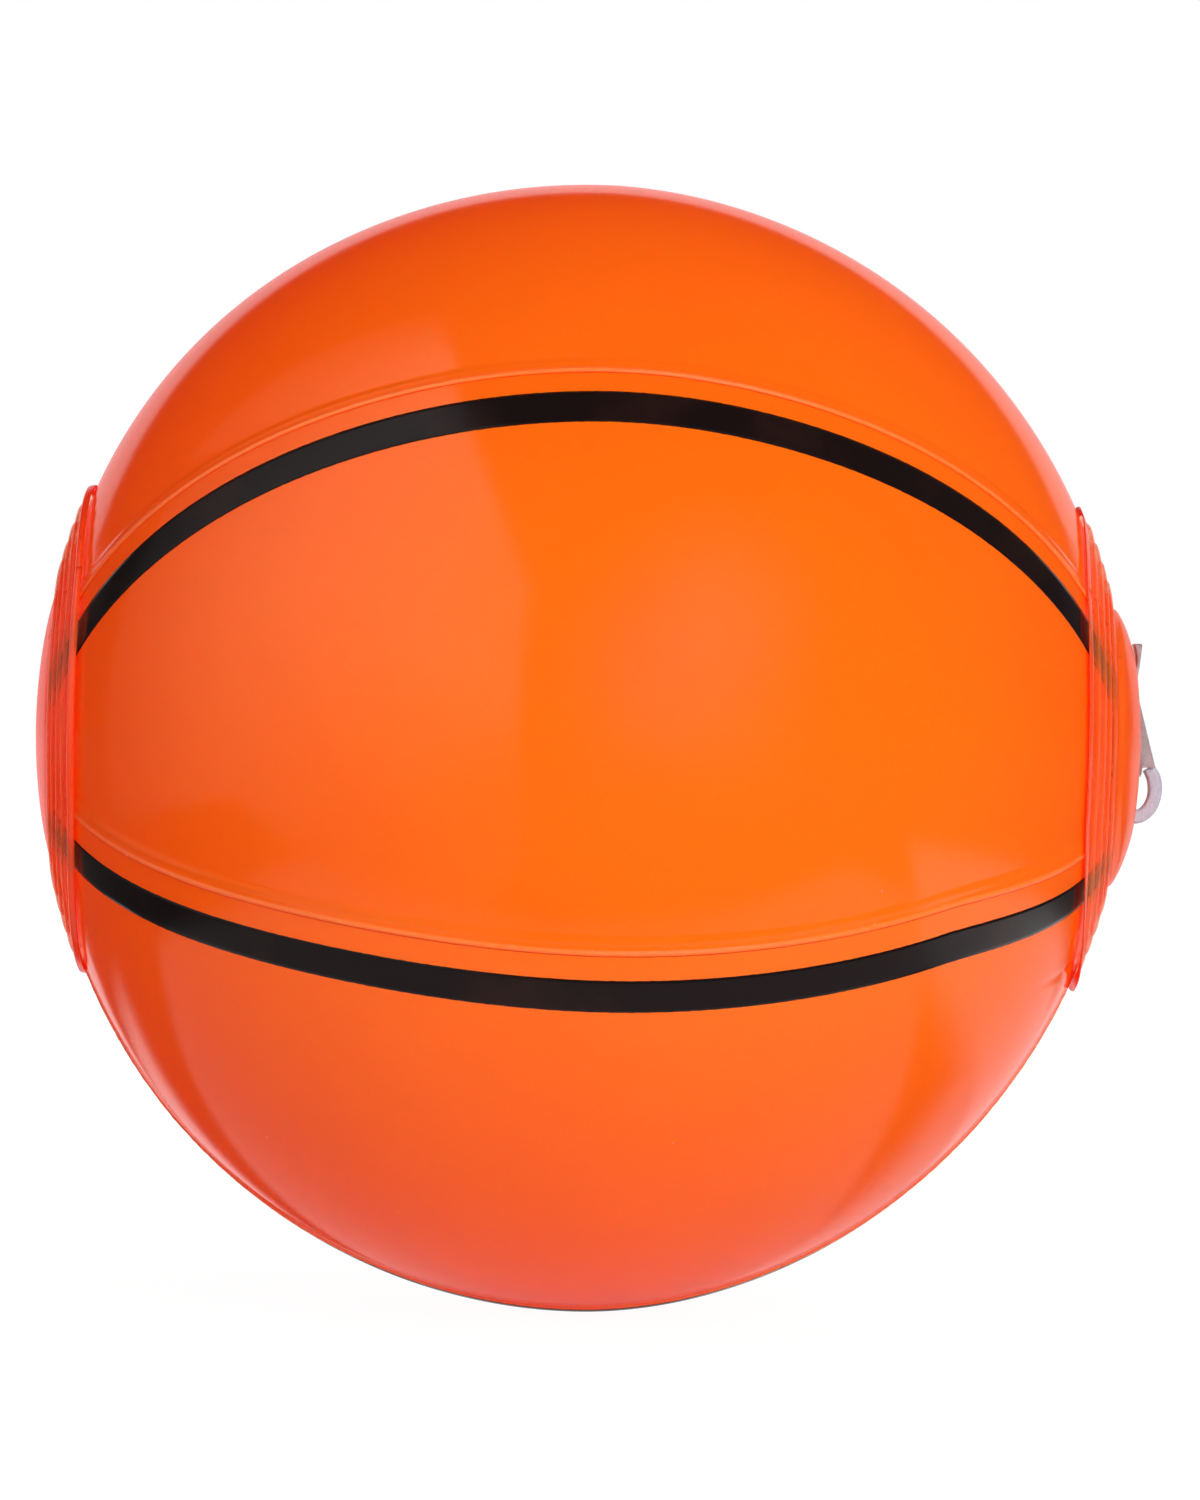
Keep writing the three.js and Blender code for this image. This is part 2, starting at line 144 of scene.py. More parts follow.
def oval(angle: float, power: float) -> tuple[float, float]:
    """Point at an angle of an oval two wide and two high, which is squarer the lower its power."""
    side, face = math.cos(angle), math.sin(angle)
    return math.copysign(abs(side) ** power, side), math.copysign(abs(face) ** power, face)


class Number:
    """Number socket of a node tree, on which operators add Math nodes."""

    def __init__(self, tree: "NodeTree", socket: Socket) -> None:
        """Wraps a socket that gives a number in a tree."""
        self.tree = tree
        self.socket = socket

    def math(self, operation: str, *others: "float | Number") -> "Number":
        """Result of a Math node.

        Args:
            operation: Name of the node's operation.
            *others: Further operands, numbers or wrapped sockets.

        Returns:
            The result, wrapped.
        """
        operands = {index: value for index, value in enumerate((self, *others))}
        made = self.tree.node("ShaderNodeMath", {"operation": operation}, operands)
        return Number(self.tree, made.outputs[0])

    def __add__(self, other: "float | Number") -> "Number":
        """Sum."""
        return self.math("ADD", other)

    __radd__ = __add__

    def __mul__(self, other: "float | Number") -> "Number":
        """Product."""
        return self.math("MULTIPLY", other)

    __rmul__ = __mul__

    def __sub__(self, other: "float | Number") -> "Number":
        """Difference."""
        return self.math("SUBTRACT", other)

    def __rsub__(self, other: float) -> "Number":
        """Difference from a plain number."""
        return self * -1.0 + other

    def smooth(self, low: float, high: float) -> "Number":
        """Share from 0 at low to 1 at high, level at both.

        Args:
            low: Value that gives 0.
            high: Value that gives 1.

        Returns:
            The share.
        """
        made = self.tree.node(
            "ShaderNodeMapRange",
            {"interpolation_type": "SMOOTHSTEP"},
            {"Value": self, "From Min": low, "From Max": high},
        )
        return Number(self.tree, made.outputs["Result"])

    def fade(self, low: float, high: float) -> "Number":
        """Share from 1 at low to 0 at high, level at both."""
        return 1.0 - self.smooth(low, high)

    def line(self, middle: float, core: float, half: float) -> "Number":
        """Mask of a line at a middle value: 1 up to a core distance from it and 0 from half its width."""
        return (self - middle).math("ABSOLUTE").fade(core, half)


class NodeTree:
    """Node tree of a material, a lamp or the world, filled from code."""

    def __init__(self, tree: bpy.types.NodeTree) -> None:
        """Empties a tree, to fill it."""
        self.tree = tree
        tree.nodes.clear()

    def node(
        self,
        kind: str,
        settings: dict[str, object] | None = None,
        sockets: dict[str | int, object] | None = None,
    ) -> Node:
        """New node, with its settings set before its sockets.

        Args:
            kind: Node type.
            settings: Properties of the node by name.
            sockets: Values, sockets or wrapped numbers by the input's name or index.

        Returns:
            The node.
        """
        made = self.tree.nodes.new(kind)
        for name, value in (settings or {}).items():
            setattr(made, name, value)
        for name, value in (sockets or {}).items():
            self._feed(made.inputs[name], value)
        return made

    def _feed(self, socket: Socket, value: object) -> None:
        """Links a socket to a wrapped number or another socket, or sets its value.

        Args:
            socket: Input to feed.
            value: What it gets.
        """
        if isinstance(value, Number):
            self.tree.links.new(value.socket, socket)
        elif isinstance(value, Socket):
            self.tree.links.new(value, socket)
        else:
            socket.default_value = value

    def place(self) -> Socket:
        """Object coordinates, in metres."""
        return self.node("ShaderNodeTexCoord").outputs["Object"]

    def chart(self) -> Socket:
        """Coordinates of the piece's own UV map, in metres from its edge and along it."""
        return self.node("ShaderNodeUVMap", {"uv_map": UV_NAME}).outputs["UV"]

    def part(self, vector: Socket, axis: int) -> Number:
        """One coordinate of a vector, by its number from 0."""
        return Number(self, self.node("ShaderNodeSeparateXYZ", None, {0: vector}).outputs[axis])

    def stretched(self, place: Socket, scale: Triple) -> Socket:
        """Coordinates stretched by a factor along each axis."""
        return self.node("ShaderNodeMapping", None, {"Vector": place, "Scale": scale}).outputs["Vector"]

    def noise(self, place: Socket, scale: float, detail: float) -> Number:
        """Noise from 0 to 1, with a number of waves in a metre and of finer octaves."""
        made = self.node("ShaderNodeTexNoise", None, {"Vector": place, "Scale": scale, "Detail": detail})
        return Number(self, made.outputs[0])

    def specks(self, place: Socket, scale: float, size: float, share: float) -> Number:
        """Mask of small round specks in some of the cells of a pattern.

        Args:
            place: Coordinates in metres.
            scale: Cells in a metre.
            size: Radius of a speck as a share of a cell.
            share: Share of the cells that have one.

        Returns:
            1 in a speck and 0 elsewhere.
        """
        cells = self.node("ShaderNodeTexVoronoi", None, {"Vector": place, "Scale": scale})
        split = self.node("ShaderNodeSeparateColor", None, {"Color": cells.outputs["Color"]})
        near = Number(self, cells.outputs["Distance"]).fade(0.5 * size, size)
        chosen = Number(self, split.outputs[0]).math("LESS_THAN", share)
        return near * chosen

    def mixed(self, share: "float | Number", first: object, second: object) -> Socket:
        """Colour between two others, the first at a share of 0 and the second at 1."""
        made = self.node("ShaderNodeMix", {"data_type": "RGBA"}, {0: share, 6: first, 7: second})
        return made.outputs[2]

    def bump(self, height: Number, distance: float, base: Socket | None = None) -> Socket:
        """Normal of a surface with fine relief.

        Args:
            height: Relief from 0 to 1.
            distance: Height of the relief in metres.
            base: Normal that the relief is added to.

        Returns:
            The normal.
        """
        sockets = {"Height": height, "Distance": distance, "Strength": 1.0}
        if base:
            sockets["Normal"] = base
        return self.node("ShaderNodeBump", None, sockets).outputs["Normal"]

    def distance(self, place: Socket, point: Triple = ORIGIN) -> Number:
        """Distance of a place from a point."""
        made = self.node("ShaderNodeVectorMath", {"operation": "DISTANCE"}, {0: place, 1: point})
        return Number(self, made.outputs["Value"])

    def vinyl(self, colour: Socket, roughness: Number, ior: float, more: dict[str, object]) -> Node:
        """Principled shader of vinyl or its ink, with further inputs by their names."""
        sockets = {"Base Color": colour, "Roughness": roughness, "IOR": ior, **more}
        return self.node("ShaderNodeBsdfPrincipled", None, sockets)

    def ray(self, kind: str) -> Number:
        """Mask of the rays of a kind that Light Path names."""
        return Number(self, self.node("ShaderNodeLightPath").outputs[kind])

    def seen_directly(self) -> Number:
        """Mask of the rays that come from the camera or through a clear piece."""
        return self.ray("Is Camera Ray").math("MAXIMUM", self.ray("Is Transmission Ray"))

    def blend(self, share: "float | Number", first: Node, second: Node) -> Node:
        """Mix Shader of two shaders, 0 for the first and 1 for the second."""
        return self.node("ShaderNodeMixShader", None, {0: share, 1: first.outputs[0], 2: second.outputs[0]})

    def finish(self, kind: str, shader: Node) -> None:
        """Links a shader to a new output node of some kind."""
        self.node(kind, None, {"Surface": shader.outputs[0]})


def material_tree(name: str) -> tuple[Material, NodeTree]:
    """New material of a name, and its empty tree.

    Args:
        name: Name of the material.

    Returns:
        The material and the tree.
    """
    made = bpy.data.materials.new(name)
    made.use_nodes = True
    return made, NodeTree(made.node_tree)


class Finish:
    """Finish of some pieces, made as one material."""

    name: str

    def surface(self, tree: NodeTree) -> Node:
        """Shader of the finish, which each kind gives in its own way."""
        raise NotImplementedError

    def make(self) -> Material:
        """New material with the finish's shader.

        Returns:
            The material.
        """
        made, tree = material_tree(self.name)
        tree.finish("ShaderNodeOutputMaterial", self.surface(tree))
        return made


@dataclass(frozen=True)
class FilmFinish(Finish):
    """Glossy printed film, slightly cloudy and dusty, which lets much of the light through, with a faint
    painted red glow standing in for light scattered inside the ball.

    Its UV map gives the distance from the welded edge and along it, which place the painted highlight on the
    weld bead, painted glints near the edge and painted shade along the cut edge.
    """

    name: str = "orange_vinyl_film"
    colour: Colour = (0.985, 0.346, 0.011, 1.0)
    cloudy: Colour = (0.970, 0.318, 0.009, 1.0)
    # Pale colour of the real dust specks, also used for the painted glints near the seam.
    dust_and_glints: Colour = (1.0, 0.50, 0.22, 1.0)
    # Painted highlight: lighter colour along the weld bead, where it catches the light.
    bead: Colour = (1.0, 0.52, 0.11, 1.0)
    # Painted red glow: a faint emission that stands in for light scattered through the film, though the film
    # is no lamp.
    painted_glow_colour: Colour = (1.0, 0.03, 0.003, 1.0)
    # Painted shade: a darker line along the film's cut edge, under the weld bead.
    shade: Colour = (0.76, 0.120, 0.006, 1.0)
    through: Colour = (1.0, 0.055, 0.006, 1.0)
    light_through: float = 0.52
    painted_glow_strength: float = 0.10
    roughness: float = 0.10
    ior: float = 1.60
    grain_height: float = 0.010 * MM
    bead_place: float = 0.95 * MM
    bead_half: float = 1.00 * MM
    shade_width: float = 0.28 * MM
    pucker_height: float = 0.05 * MM

    def surface(self, tree: NodeTree) -> Node:
        """Shader of the film.

        Args:
            tree: Tree of its material.

        Returns:
            The shader.
        """
        place = tree.place()
        chart = tree.chart()
        from_edge = tree.part(chart, 0)
        cloud = tree.noise(place, 11.0, 4.0)
        specks = tree.specks(place, 62.0, 0.032, 0.30)
        scuffs = tree.noise(tree.stretched(place, (1.0, 1.0, 9.0)), 130.0, 2.0).smooth(0.68, 0.78)
        uneven = tree.noise(tree.stretched(chart, (0.2, 1.0, 1.0)), 420.0, 3.0)
        # Painted highlight along the weld bead, uneven along its length; the same mask also roughens the
        # bead.
        bead = from_edge.line(self.bead_place, 0.35 * self.bead_half, self.bead_half)
        bead = bead * (uneven.smooth(0.1, 0.6) * 0.5 + 0.5)
        # Painted shade along the cut edge of the film.
        edge = from_edge.fade(0.4 * self.shade_width, self.shade_width)
        # Painted glints: small bright specks within a few millimetres of the film's edge.
        painted_glints = tree.specks(chart, 700.0, 0.28, 0.22) * from_edge.fade(0.6 * MM, 3.5 * MM)
        colour = tree.mixed(cloud.smooth(0.35, 0.7), self.colour, self.cloudy)
        # Paints the bead's highlight into the colour.
        colour = tree.mixed(bead * 0.8, colour, self.bead)
        colour = tree.mixed(painted_glints * uneven.smooth(0.45, 0.65), colour, self.dust_and_glints)
        colour = tree.mixed(edge, colour, self.shade)
        colour = tree.mixed(specks * 0.7, colour, self.dust_and_glints)
        gathers = tree.noise(tree.stretched(chart, (0.12, 1.0, 1.0)), 260.0, 2.0)
        grain = tree.bump(tree.noise(place, 900.0, 1.0), self.grain_height)
        normal = tree.bump(gathers * from_edge.fade(1.0 * MM, 14.0 * MM), self.pucker_height, grain)
        roughness = self.roughness + cloud * 0.04 + scuffs * 0.08 + specks * 0.3 + bead * 0.12
        # Painted red glow of the film, as emission.
        glow = {"Emission Color": self.painted_glow_colour, "Emission Strength": self.painted_glow_strength}
        gloss = tree.vinyl(colour, roughness, self.ior, {"Normal": normal, **glow})
        through = tree.node("ShaderNodeBsdfTranslucent", None, {"Color": self.through, "Normal": grain})
        return tree.blend(self.light_through, gloss, through)


@dataclass(frozen=True)
class InkFinish(Finish):
    """Black printing ink with the gloss of the film and small pinholes."""

    name: str = "black_stripe_ink"
    colour: Colour = (0.010, 0.005, 0.005, 1.0)
    thin: Colour = (0.022, 0.009, 0.007, 1.0)
    roughness: float = 0.14
    ior: float = 1.25

    def surface(self, tree: NodeTree) -> Node:
        """Shader of the ink.

        Args:
            tree: Tree of its material.

        Returns:
            The shader.
        """
        place = tree.place()
        cloud = tree.noise(place, 45.0, 4.0)
        colour = tree.mixed(cloud.smooth(0.45, 0.75), self.colour, self.thin)
        normal = tree.bump(tree.noise(place, 1500.0, 2.0), 0.01 * MM)
        return tree.vinyl(colour, self.roughness + cloud * 0.08, self.ior, {"Normal": normal})


@dataclass(frozen=True)
class DiscFinish(Finish):
    """Tinted see-through film of an end disc, denser along its rim and over the dome, with a faint painted
    red glow, painted shade in the ring grooves and along the rim, and painted highlights on the ring crests
    and the weld line.

    Its UV map gives the distance from the rim and round it.
    """

    name: str
    colour: Colour
    cloudy: Colour
    tint: Colour = (1.0, 0.90, 0.80, 1.0)
    through: Colour = (1.0, 0.100, 0.012, 1.0)
    # Painted highlight colour, for the ring crests and the weld line near the rim.
    bead: Colour = (1.0, 0.42, 0.16, 1.0)
    band_width: float = 20.0 * MM
    band_share: float = 0.25
    dome_share: float = 0.86
    # Painted shade: darker colour in the grooves between the weld rings and along the rim.
    groove_and_rim_shade: Colour = (0.86, 0.130, 0.008, 1.0)
    rim_share: float = 0.85
    rim_width: float = 1.7 * MM
    bead_place: float = 2.2 * MM
    ring_pitch: float = 4.7 * MM
    # Painted red glow: a faint emission standing in for light scattered through the disc, though it is no
    # lamp.
    painted_glow_colour: Colour = (1.0, 0.03, 0.003, 1.0)
    painted_glow_strength: float = 0.18
    stout_below: float = -1.0
    light_through: float = 0.50
    roughness: float = 0.19
    ior: float = 1.75

    def surface(self, tree: NodeTree) -> Node:
        """Shader of the disc.

        Args:
            tree: Tree of its material.

        Returns:
            The shader.
        """
        place = tree.place()
        chart = tree.chart()
        from_rim = tree.part(chart, 0)
        cloud = tree.noise(place, 55.0, 3.0)
        inside = from_rim.smooth(self.band_width, self.band_width + 3.0 * MM)
        on_band = 1.0 - inside
        # Painted shade along the rim, which is also denser there.
        rim = from_rim.fade(0.7 * self.rim_width, 1.2 * self.rim_width)
        waver = tree.noise(tree.stretched(chart, (0.0, 1.0, 1.0)), 160.0, 2.0) * 0.5 * MM
        # Painted highlight: a thin wavering bright line at the weld near the rim, which is also denser.
        bead = (from_rim + waver).line(self.bead_place, 0.10 * MM, 0.32 * MM) * cloud.smooth(0.30, 0.55)
        phase = (from_rim * (1 / self.ring_pitch) + 0.5).math("FRACT") - 0.5
        # Painted shade in the groove before each ring; the grooves are also a little denser.
        grooves = phase.line(-0.26, 0.03, 0.15) * on_band
        # Painted highlight along the ring crests.
        crests = phase.line(0.06, 0.03, 0.12) * on_band
        edges = phase.line(0.08, 0.10, 0.24) * on_band
        low = tree.part(place, 2).fade(self.stout_below - 6.0 * MM, self.stout_below + 6.0 * MM)
        stout = low * from_rim.fade(3.5 * MM, 5.5 * MM) * 0.94
        share = self.band_share + inside * (self.dome_share - self.band_share)
        marks = bead * 0.5 + grooves * 0.15 + edges * 0.34
        share = share + (rim * (self.rim_share - self.band_share) + marks)
        share = share.math("MAXIMUM", stout)
        colour = tree.mixed(cloud.smooth(0.35, 0.7), self.colour, self.cloudy)
        # Painted shade in the grooves and along the rim, painted highlights on the crests and the weld line.
        colour = tree.mixed(grooves * 0.45, colour, self.groove_and_rim_shade)
        colour = tree.mixed(crests * 0.35, colour, self.bead)
        colour = tree.mixed(rim * 0.8, colour, self.groove_and_rim_shade)
        colour = tree.mixed(bead, colour, self.bead)
        normal = tree.bump(tree.noise(place, 420.0, 2.0), 0.012 * MM)
        # Painted red glow of the disc, as emission.
        glow = {"Emission Color": self.painted_glow_colour, "Emission Strength": self.painted_glow_strength}
        film = tree.vinyl(colour, self.roughness + cloud * 0.06, self.ior, {"Normal": normal, **glow})
        through = tree.node("ShaderNodeBsdfTranslucent", None, {"Color": self.through, "Normal": normal})
        clear = tree.node("ShaderNodeBsdfTransparent", None, {"Color": self.tint})
        return tree.blend(share, clear, tree.blend(self.light_through, film, through))


@dataclass(frozen=True)
class SoftVinylFinish(Finish):
    """Moulded soft vinyl of the valve, clear to milky, with faint flow marks."""

    name: str
    colour: Colour
    clouded: Colour
    clearness: float
    roughness: float = 0.22
    ior: float = 1.5

    def surface(self, tree: NodeTree) -> Node:
        """Shader of the moulded piece.

        Args:
            tree: Tree of its material.

        Returns:
            The shader.
        """
        place = tree.place()
        flow = tree.noise(tree.stretched(place, (1.0, 1.0, 0.25)), 420.0, 3.0)
        colour = tree.mixed(flow.smooth(0.3, 0.75), self.colour, self.clouded)
        normal = tree.bump(tree.noise(place, 700.0, 2.0), 0.03 * MM)
        clear = {"Transmission Weight": self.clearness, "Normal": normal}
        return tree.vinyl(colour, self.roughness + flow * 0.1, self.ior, clear)


def face_outwards(mesh: BMesh, middle: Vector) -> None:
    """Turns the faces of an open sheet so that they look away from a point.

    Args:
        mesh: Sheet whose faces already agree with each other.
        middle: Point that they look away from.
    """
    mesh.normal_update()
    facing = (face.normal.dot(face.calc_center_median() - middle) * face.calc_area() for face in mesh.faces)
    if sum(facing) < 0:
        bmesh.ops.reverse_faces(mesh, faces=mesh.faces)


def laid_grid(columns: int, rows: int, place: Place, chart: Chart | None = None) -> BMesh:
    """Grid of faces laid on a surface.

    Args:
        columns: Faces across.
        rows: Faces along.
        place: Point on the surface at two shares from 0 to 1, across and along.
        chart: UV place at the same shares.

    Returns:
        The mesh.
    """
    mesh = bmesh.new()
    bmesh.ops.create_grid(mesh, x_segments=columns, y_segments=rows, size=1.0)
    if chart:
        layer = mesh.loops.layers.uv.new(UV_NAME)
        for face in mesh.faces:
            for loop in face.loops:
                loop[layer].uv = chart((loop.vert.co.x + 1) / 2, (loop.vert.co.y + 1) / 2)
    for vertex in mesh.verts:
        vertex.co = place((vertex.co.x + 1) / 2, (vertex.co.y + 1) / 2)
    return mesh


def closed_tube(around: int, along: int, place: Place) -> BMesh:
    """Tube of rounded sections with both ends closed.

    Args:
        around: Faces round a section.
        along: Faces along the tube.
        place: Point on the tube at two shares from 0 to 1, round a section and along the tube.

    Returns:
        The mesh.
    """
    mesh = laid_grid(around, along, place)
    bmesh.ops.remove_doubles(mesh, verts=mesh.verts, dist=TUBE_MERGE_DISTANCE)
    bmesh.ops.holes_fill(mesh, edges=mesh.edges, sides=0)
    bmesh.ops.recalc_face_normals(mesh, faces=mesh.faces)
    return mesh


def turned(profile: list[tuple[float, float]], steps: int, middle: Vector) -> BMesh:
    """Solid turned about an axis along X.

    Args:
        profile: Distance along the axis and radius of each corner; it closes on itself or ends on the axis.
        steps: Faces round the axis.
        middle: Point of the axis from which the distances count.

    Returns:
        The mesh.
    """
    mesh = bmesh.new()
    corners = [mesh.verts.new(middle + Vector((along, 0.0, radius))) for along, radius in profile]
    edges = [mesh.edges.new(pair) for pair in zip(corners, corners[1:])]
    if min(radius for _, radius in profile) > 0:
        edges.append(mesh.edges.new((corners[-1], corners[0])))
    bmesh.ops.spin(
        mesh,
        geom=[*corners, *edges],
        cent=middle,
        axis=(1.0, 0.0, 0.0),
        angle=2 * math.pi,
        steps=steps,
        use_merge=True,
    )
    bmesh.ops.remove_doubles(mesh, verts=mesh.verts, dist=MERGE_DISTANCE)
    bmesh.ops.recalc_face_normals(mesh, faces=mesh.faces)
    return mesh


def soften_edges(mesh: BMesh, offset: float) -> None:
    """Rounds the sharp edges of a solid.

    Args:
        mesh: Closed solid.
        offset: Width of the rounding.
    """
    limit = math.radians(SHARP_DEGREES)
    sharp = [edge for edge in mesh.edges if edge.is_manifold and edge.calc_face_angle(0.0) > limit]
    bmesh.ops.bevel(
        mesh,
        geom=sharp,
        offset=offset,
        segments=EDGE_SEGMENTS,
        profile=0.5,
        affect="EDGES",
        material=-1,
        clamp_overlap=True,
    )


def mesh_data(name: str, mesh: BMesh) -> bpy.types.Mesh:
    """Data made from a mesh, which is used up.

    Args:
        name: Name of the data.
        mesh: The mesh.

    Returns:
        The data.
    """
    data = bpy.data.meshes.new(name)
    mesh.to_mesh(data)
    mesh.free()
    return data


def add_object(name: str, data: bpy.types.ID) -> Object:
    """New object of some data, at the origin of the scene.

    Args:
        name: Name of the object.
        data: What it shows.

    Returns:
        The object.
    """
    added = bpy.data.objects.new(name, data)
    bpy.context.scene.collection.objects.link(added)
    return added


def new_piece(name: str, mesh: BMesh, finish: Material, slot: Slot) -> Object:
    """Smooth-shaded piece at the origin, with its place in its mesh.

    Args:
        name: Name of the piece.
        mesh: Its mesh, which is used up.
        finish: Its material.
        slot: Material slot that the finish stands for; not used.

    Returns:
        The piece.
    """
    data = mesh_data(name, mesh)
    data.materials.append(finish)
    data.shade_smooth()
    piece = add_object(name, data)
    log.info("%s: %d faces", name, len(data.polygons))
    return piece


def put_in_place(piece: Object, node: str, body: Body) -> None:
    """Lets a piece take the place of a node and ride on a body."""
    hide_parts(node)
    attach(piece, body.value)


def thicken(piece: Object, thickness: float) -> None:
    """Gives a sheet its wall, inwards from its outer face.

    Args:
        piece: Open sheet whose faces look outwards.
        thickness: Thickness of the wall.
    """
    wall = piece.modifiers.new("wall", "SOLIDIFY")
    wall.thickness = thickness
    wall.offset = -1.0


def add_sheet(name: str, sheet: BMesh, finish: Material, slot: Slot, node: str, wall: float) -> None:
    """Adds a sheet of the skin with its wall, in place of its node.

    Args:
        name: Name of the piece.
        sheet: Its outer face.
        finish: Its material.
        slot: Material slot that the finish stands for.
        node: Node that it replaces.
        wall: Thickness of the wall.
    """
    face_outwards(sheet, Vector((0.0, 0.0, 0.0)))
    piece = new_piece(name, sheet, finish, slot)
    thicken(piece, wall)
    put_in_place(piece, node, Body.BALL)


def apply_modifiers(piece: Object) -> None:
    """Makes what the modifiers show the piece's own mesh.

    Args:
        piece: Piece with modifiers.
    """
    shown = piece.evaluated_get(bpy.context.evaluated_depsgraph_get())
    rough = piece.data
    piece.data = bpy.data.meshes.new_from_object(shown)
    piece.modifiers.clear()
    piece.data.name = piece.name
    bpy.data.meshes.remove(rough)


def melt_together(piece: Object, voxel: float, rounds: int) -> None:
    """Joins the overlapping solids of a piece into one soft moulded form.

    Args:
        piece: Piece of closed solids.
        voxel: Fineness of the new mesh.
        rounds: Rounds of smoothing.
    """
    fused = piece.modifiers.new("fused", "REMESH")
    fused.mode = "VOXEL"
    fused.voxel_size = voxel
    fused.use_smooth_shade = True
    relaxed = piece.modifiers.new("relaxed", "SMOOTH")
    relaxed.factor = RELAX_FACTOR
    relaxed.iterations = rounds
    bpy.context.view_layer.update()
    apply_modifiers(piece)


@dataclass(frozen=True)
class BallShape:
    """Blown-up form of the ball, measured to the inside of its film.

    A polar angle counts from the valve pole, and a turn about +X from the front, upwards.
    """

    radius: float = 139.3 * MM
    panel_bulge: float = 1.5 * MM
    valve_end_drop: float = 8.0 * MM
    valve_end_power: float = 1.3
    plain_end_drop: float = 4.2 * MM
    plain_end_power: float = 6.0
    plain_end_swell: float = 1.7 * MM
    belly_sag: float = 3.2 * MM
    panel_count: int = 6
    first_seam_turn: float = math.radians(40.4)
    film: float = 0.25 * MM
    clearance: float = 0.3 * MM

    @property
    def panel_turn(self) -> float:
        """Turn from one seam to the next."""
        return 2 * math.pi / self.panel_count

    @property
    def seam_rise(self) -> float:
        """Height of a lap over the inside of the film."""
        return self.film + self.clearance

    @property
    def pole_rise(self) -> float:
        """Height of the pole axis over the ball's middle."""
        return self.belly_sag / 2

    def film_radius(self, polar: float, turn: float) -> float:
        """Distance from the ball's middle to the inside of the film.

        Args:
            polar: Polar angle.
            turn: Turn.

        Returns:
            The distance.
        """
        along = math.cos(polar)
        if along > 0:
            drop = self.valve_end_drop * along**self.valve_end_power
        else:
            drop = self.plain_end_drop * (-along) ** self.plain_end_power + self.plain_end_swell * along
        panels = (turn - self.first_seam_turn) / self.panel_turn
        across = 2 * (panels - math.floor(panels)) - 1
        return self.radius - drop + self.panel_bulge * (1 - across**2) * math.sin(polar) ** 2

    def circle(self, polar: float, turn: float) -> float:
        """Distance from the pole axis to the inside of the film, without the sag."""
        return self.film_radius(polar, turn) * math.sin(polar)

    def point(self, polar: float, turn: float, lift: float) -> Vector:
        """Point on or over the ball.

        Args:
            polar: Polar angle.
            turn: Turn.
            lift: Height over the inside of the film.

        Returns:
            The point.
        """
        radius = self.film_radius(polar, turn) + lift
        reach = radius * math.sin(polar)
        sag = self.belly_sag * (0.5 - math.sin(polar) ** 2)
        return Vector((radius * math.cos(polar), -reach * math.cos(turn), reach * math.sin(turn) + sag))

    def polar_at(self, end: End, reach: float, turn: float, lift: float, rounds: int = 5) -> float:
        """Polar angle at which a layer lies at a distance from the pole axis.

        Args:
            end: Pole that the layer is near.
            reach: Distance from the axis.
            turn: Turn.
            lift: Height of the layer over the inside of the film.
            rounds: Rounds in which the angle is found.

        Returns:
            The polar angle.
        """
        from_pole = math.asin(reach / self.radius)
        for _ in range(rounds):
            polar = from_pole if end is End.VALVE else math.pi - from_pole
            from_pole = math.asin(reach / (self.film_radius(polar, turn) + lift))
        return from_pole if end is End.VALVE else math.pi - from_pole


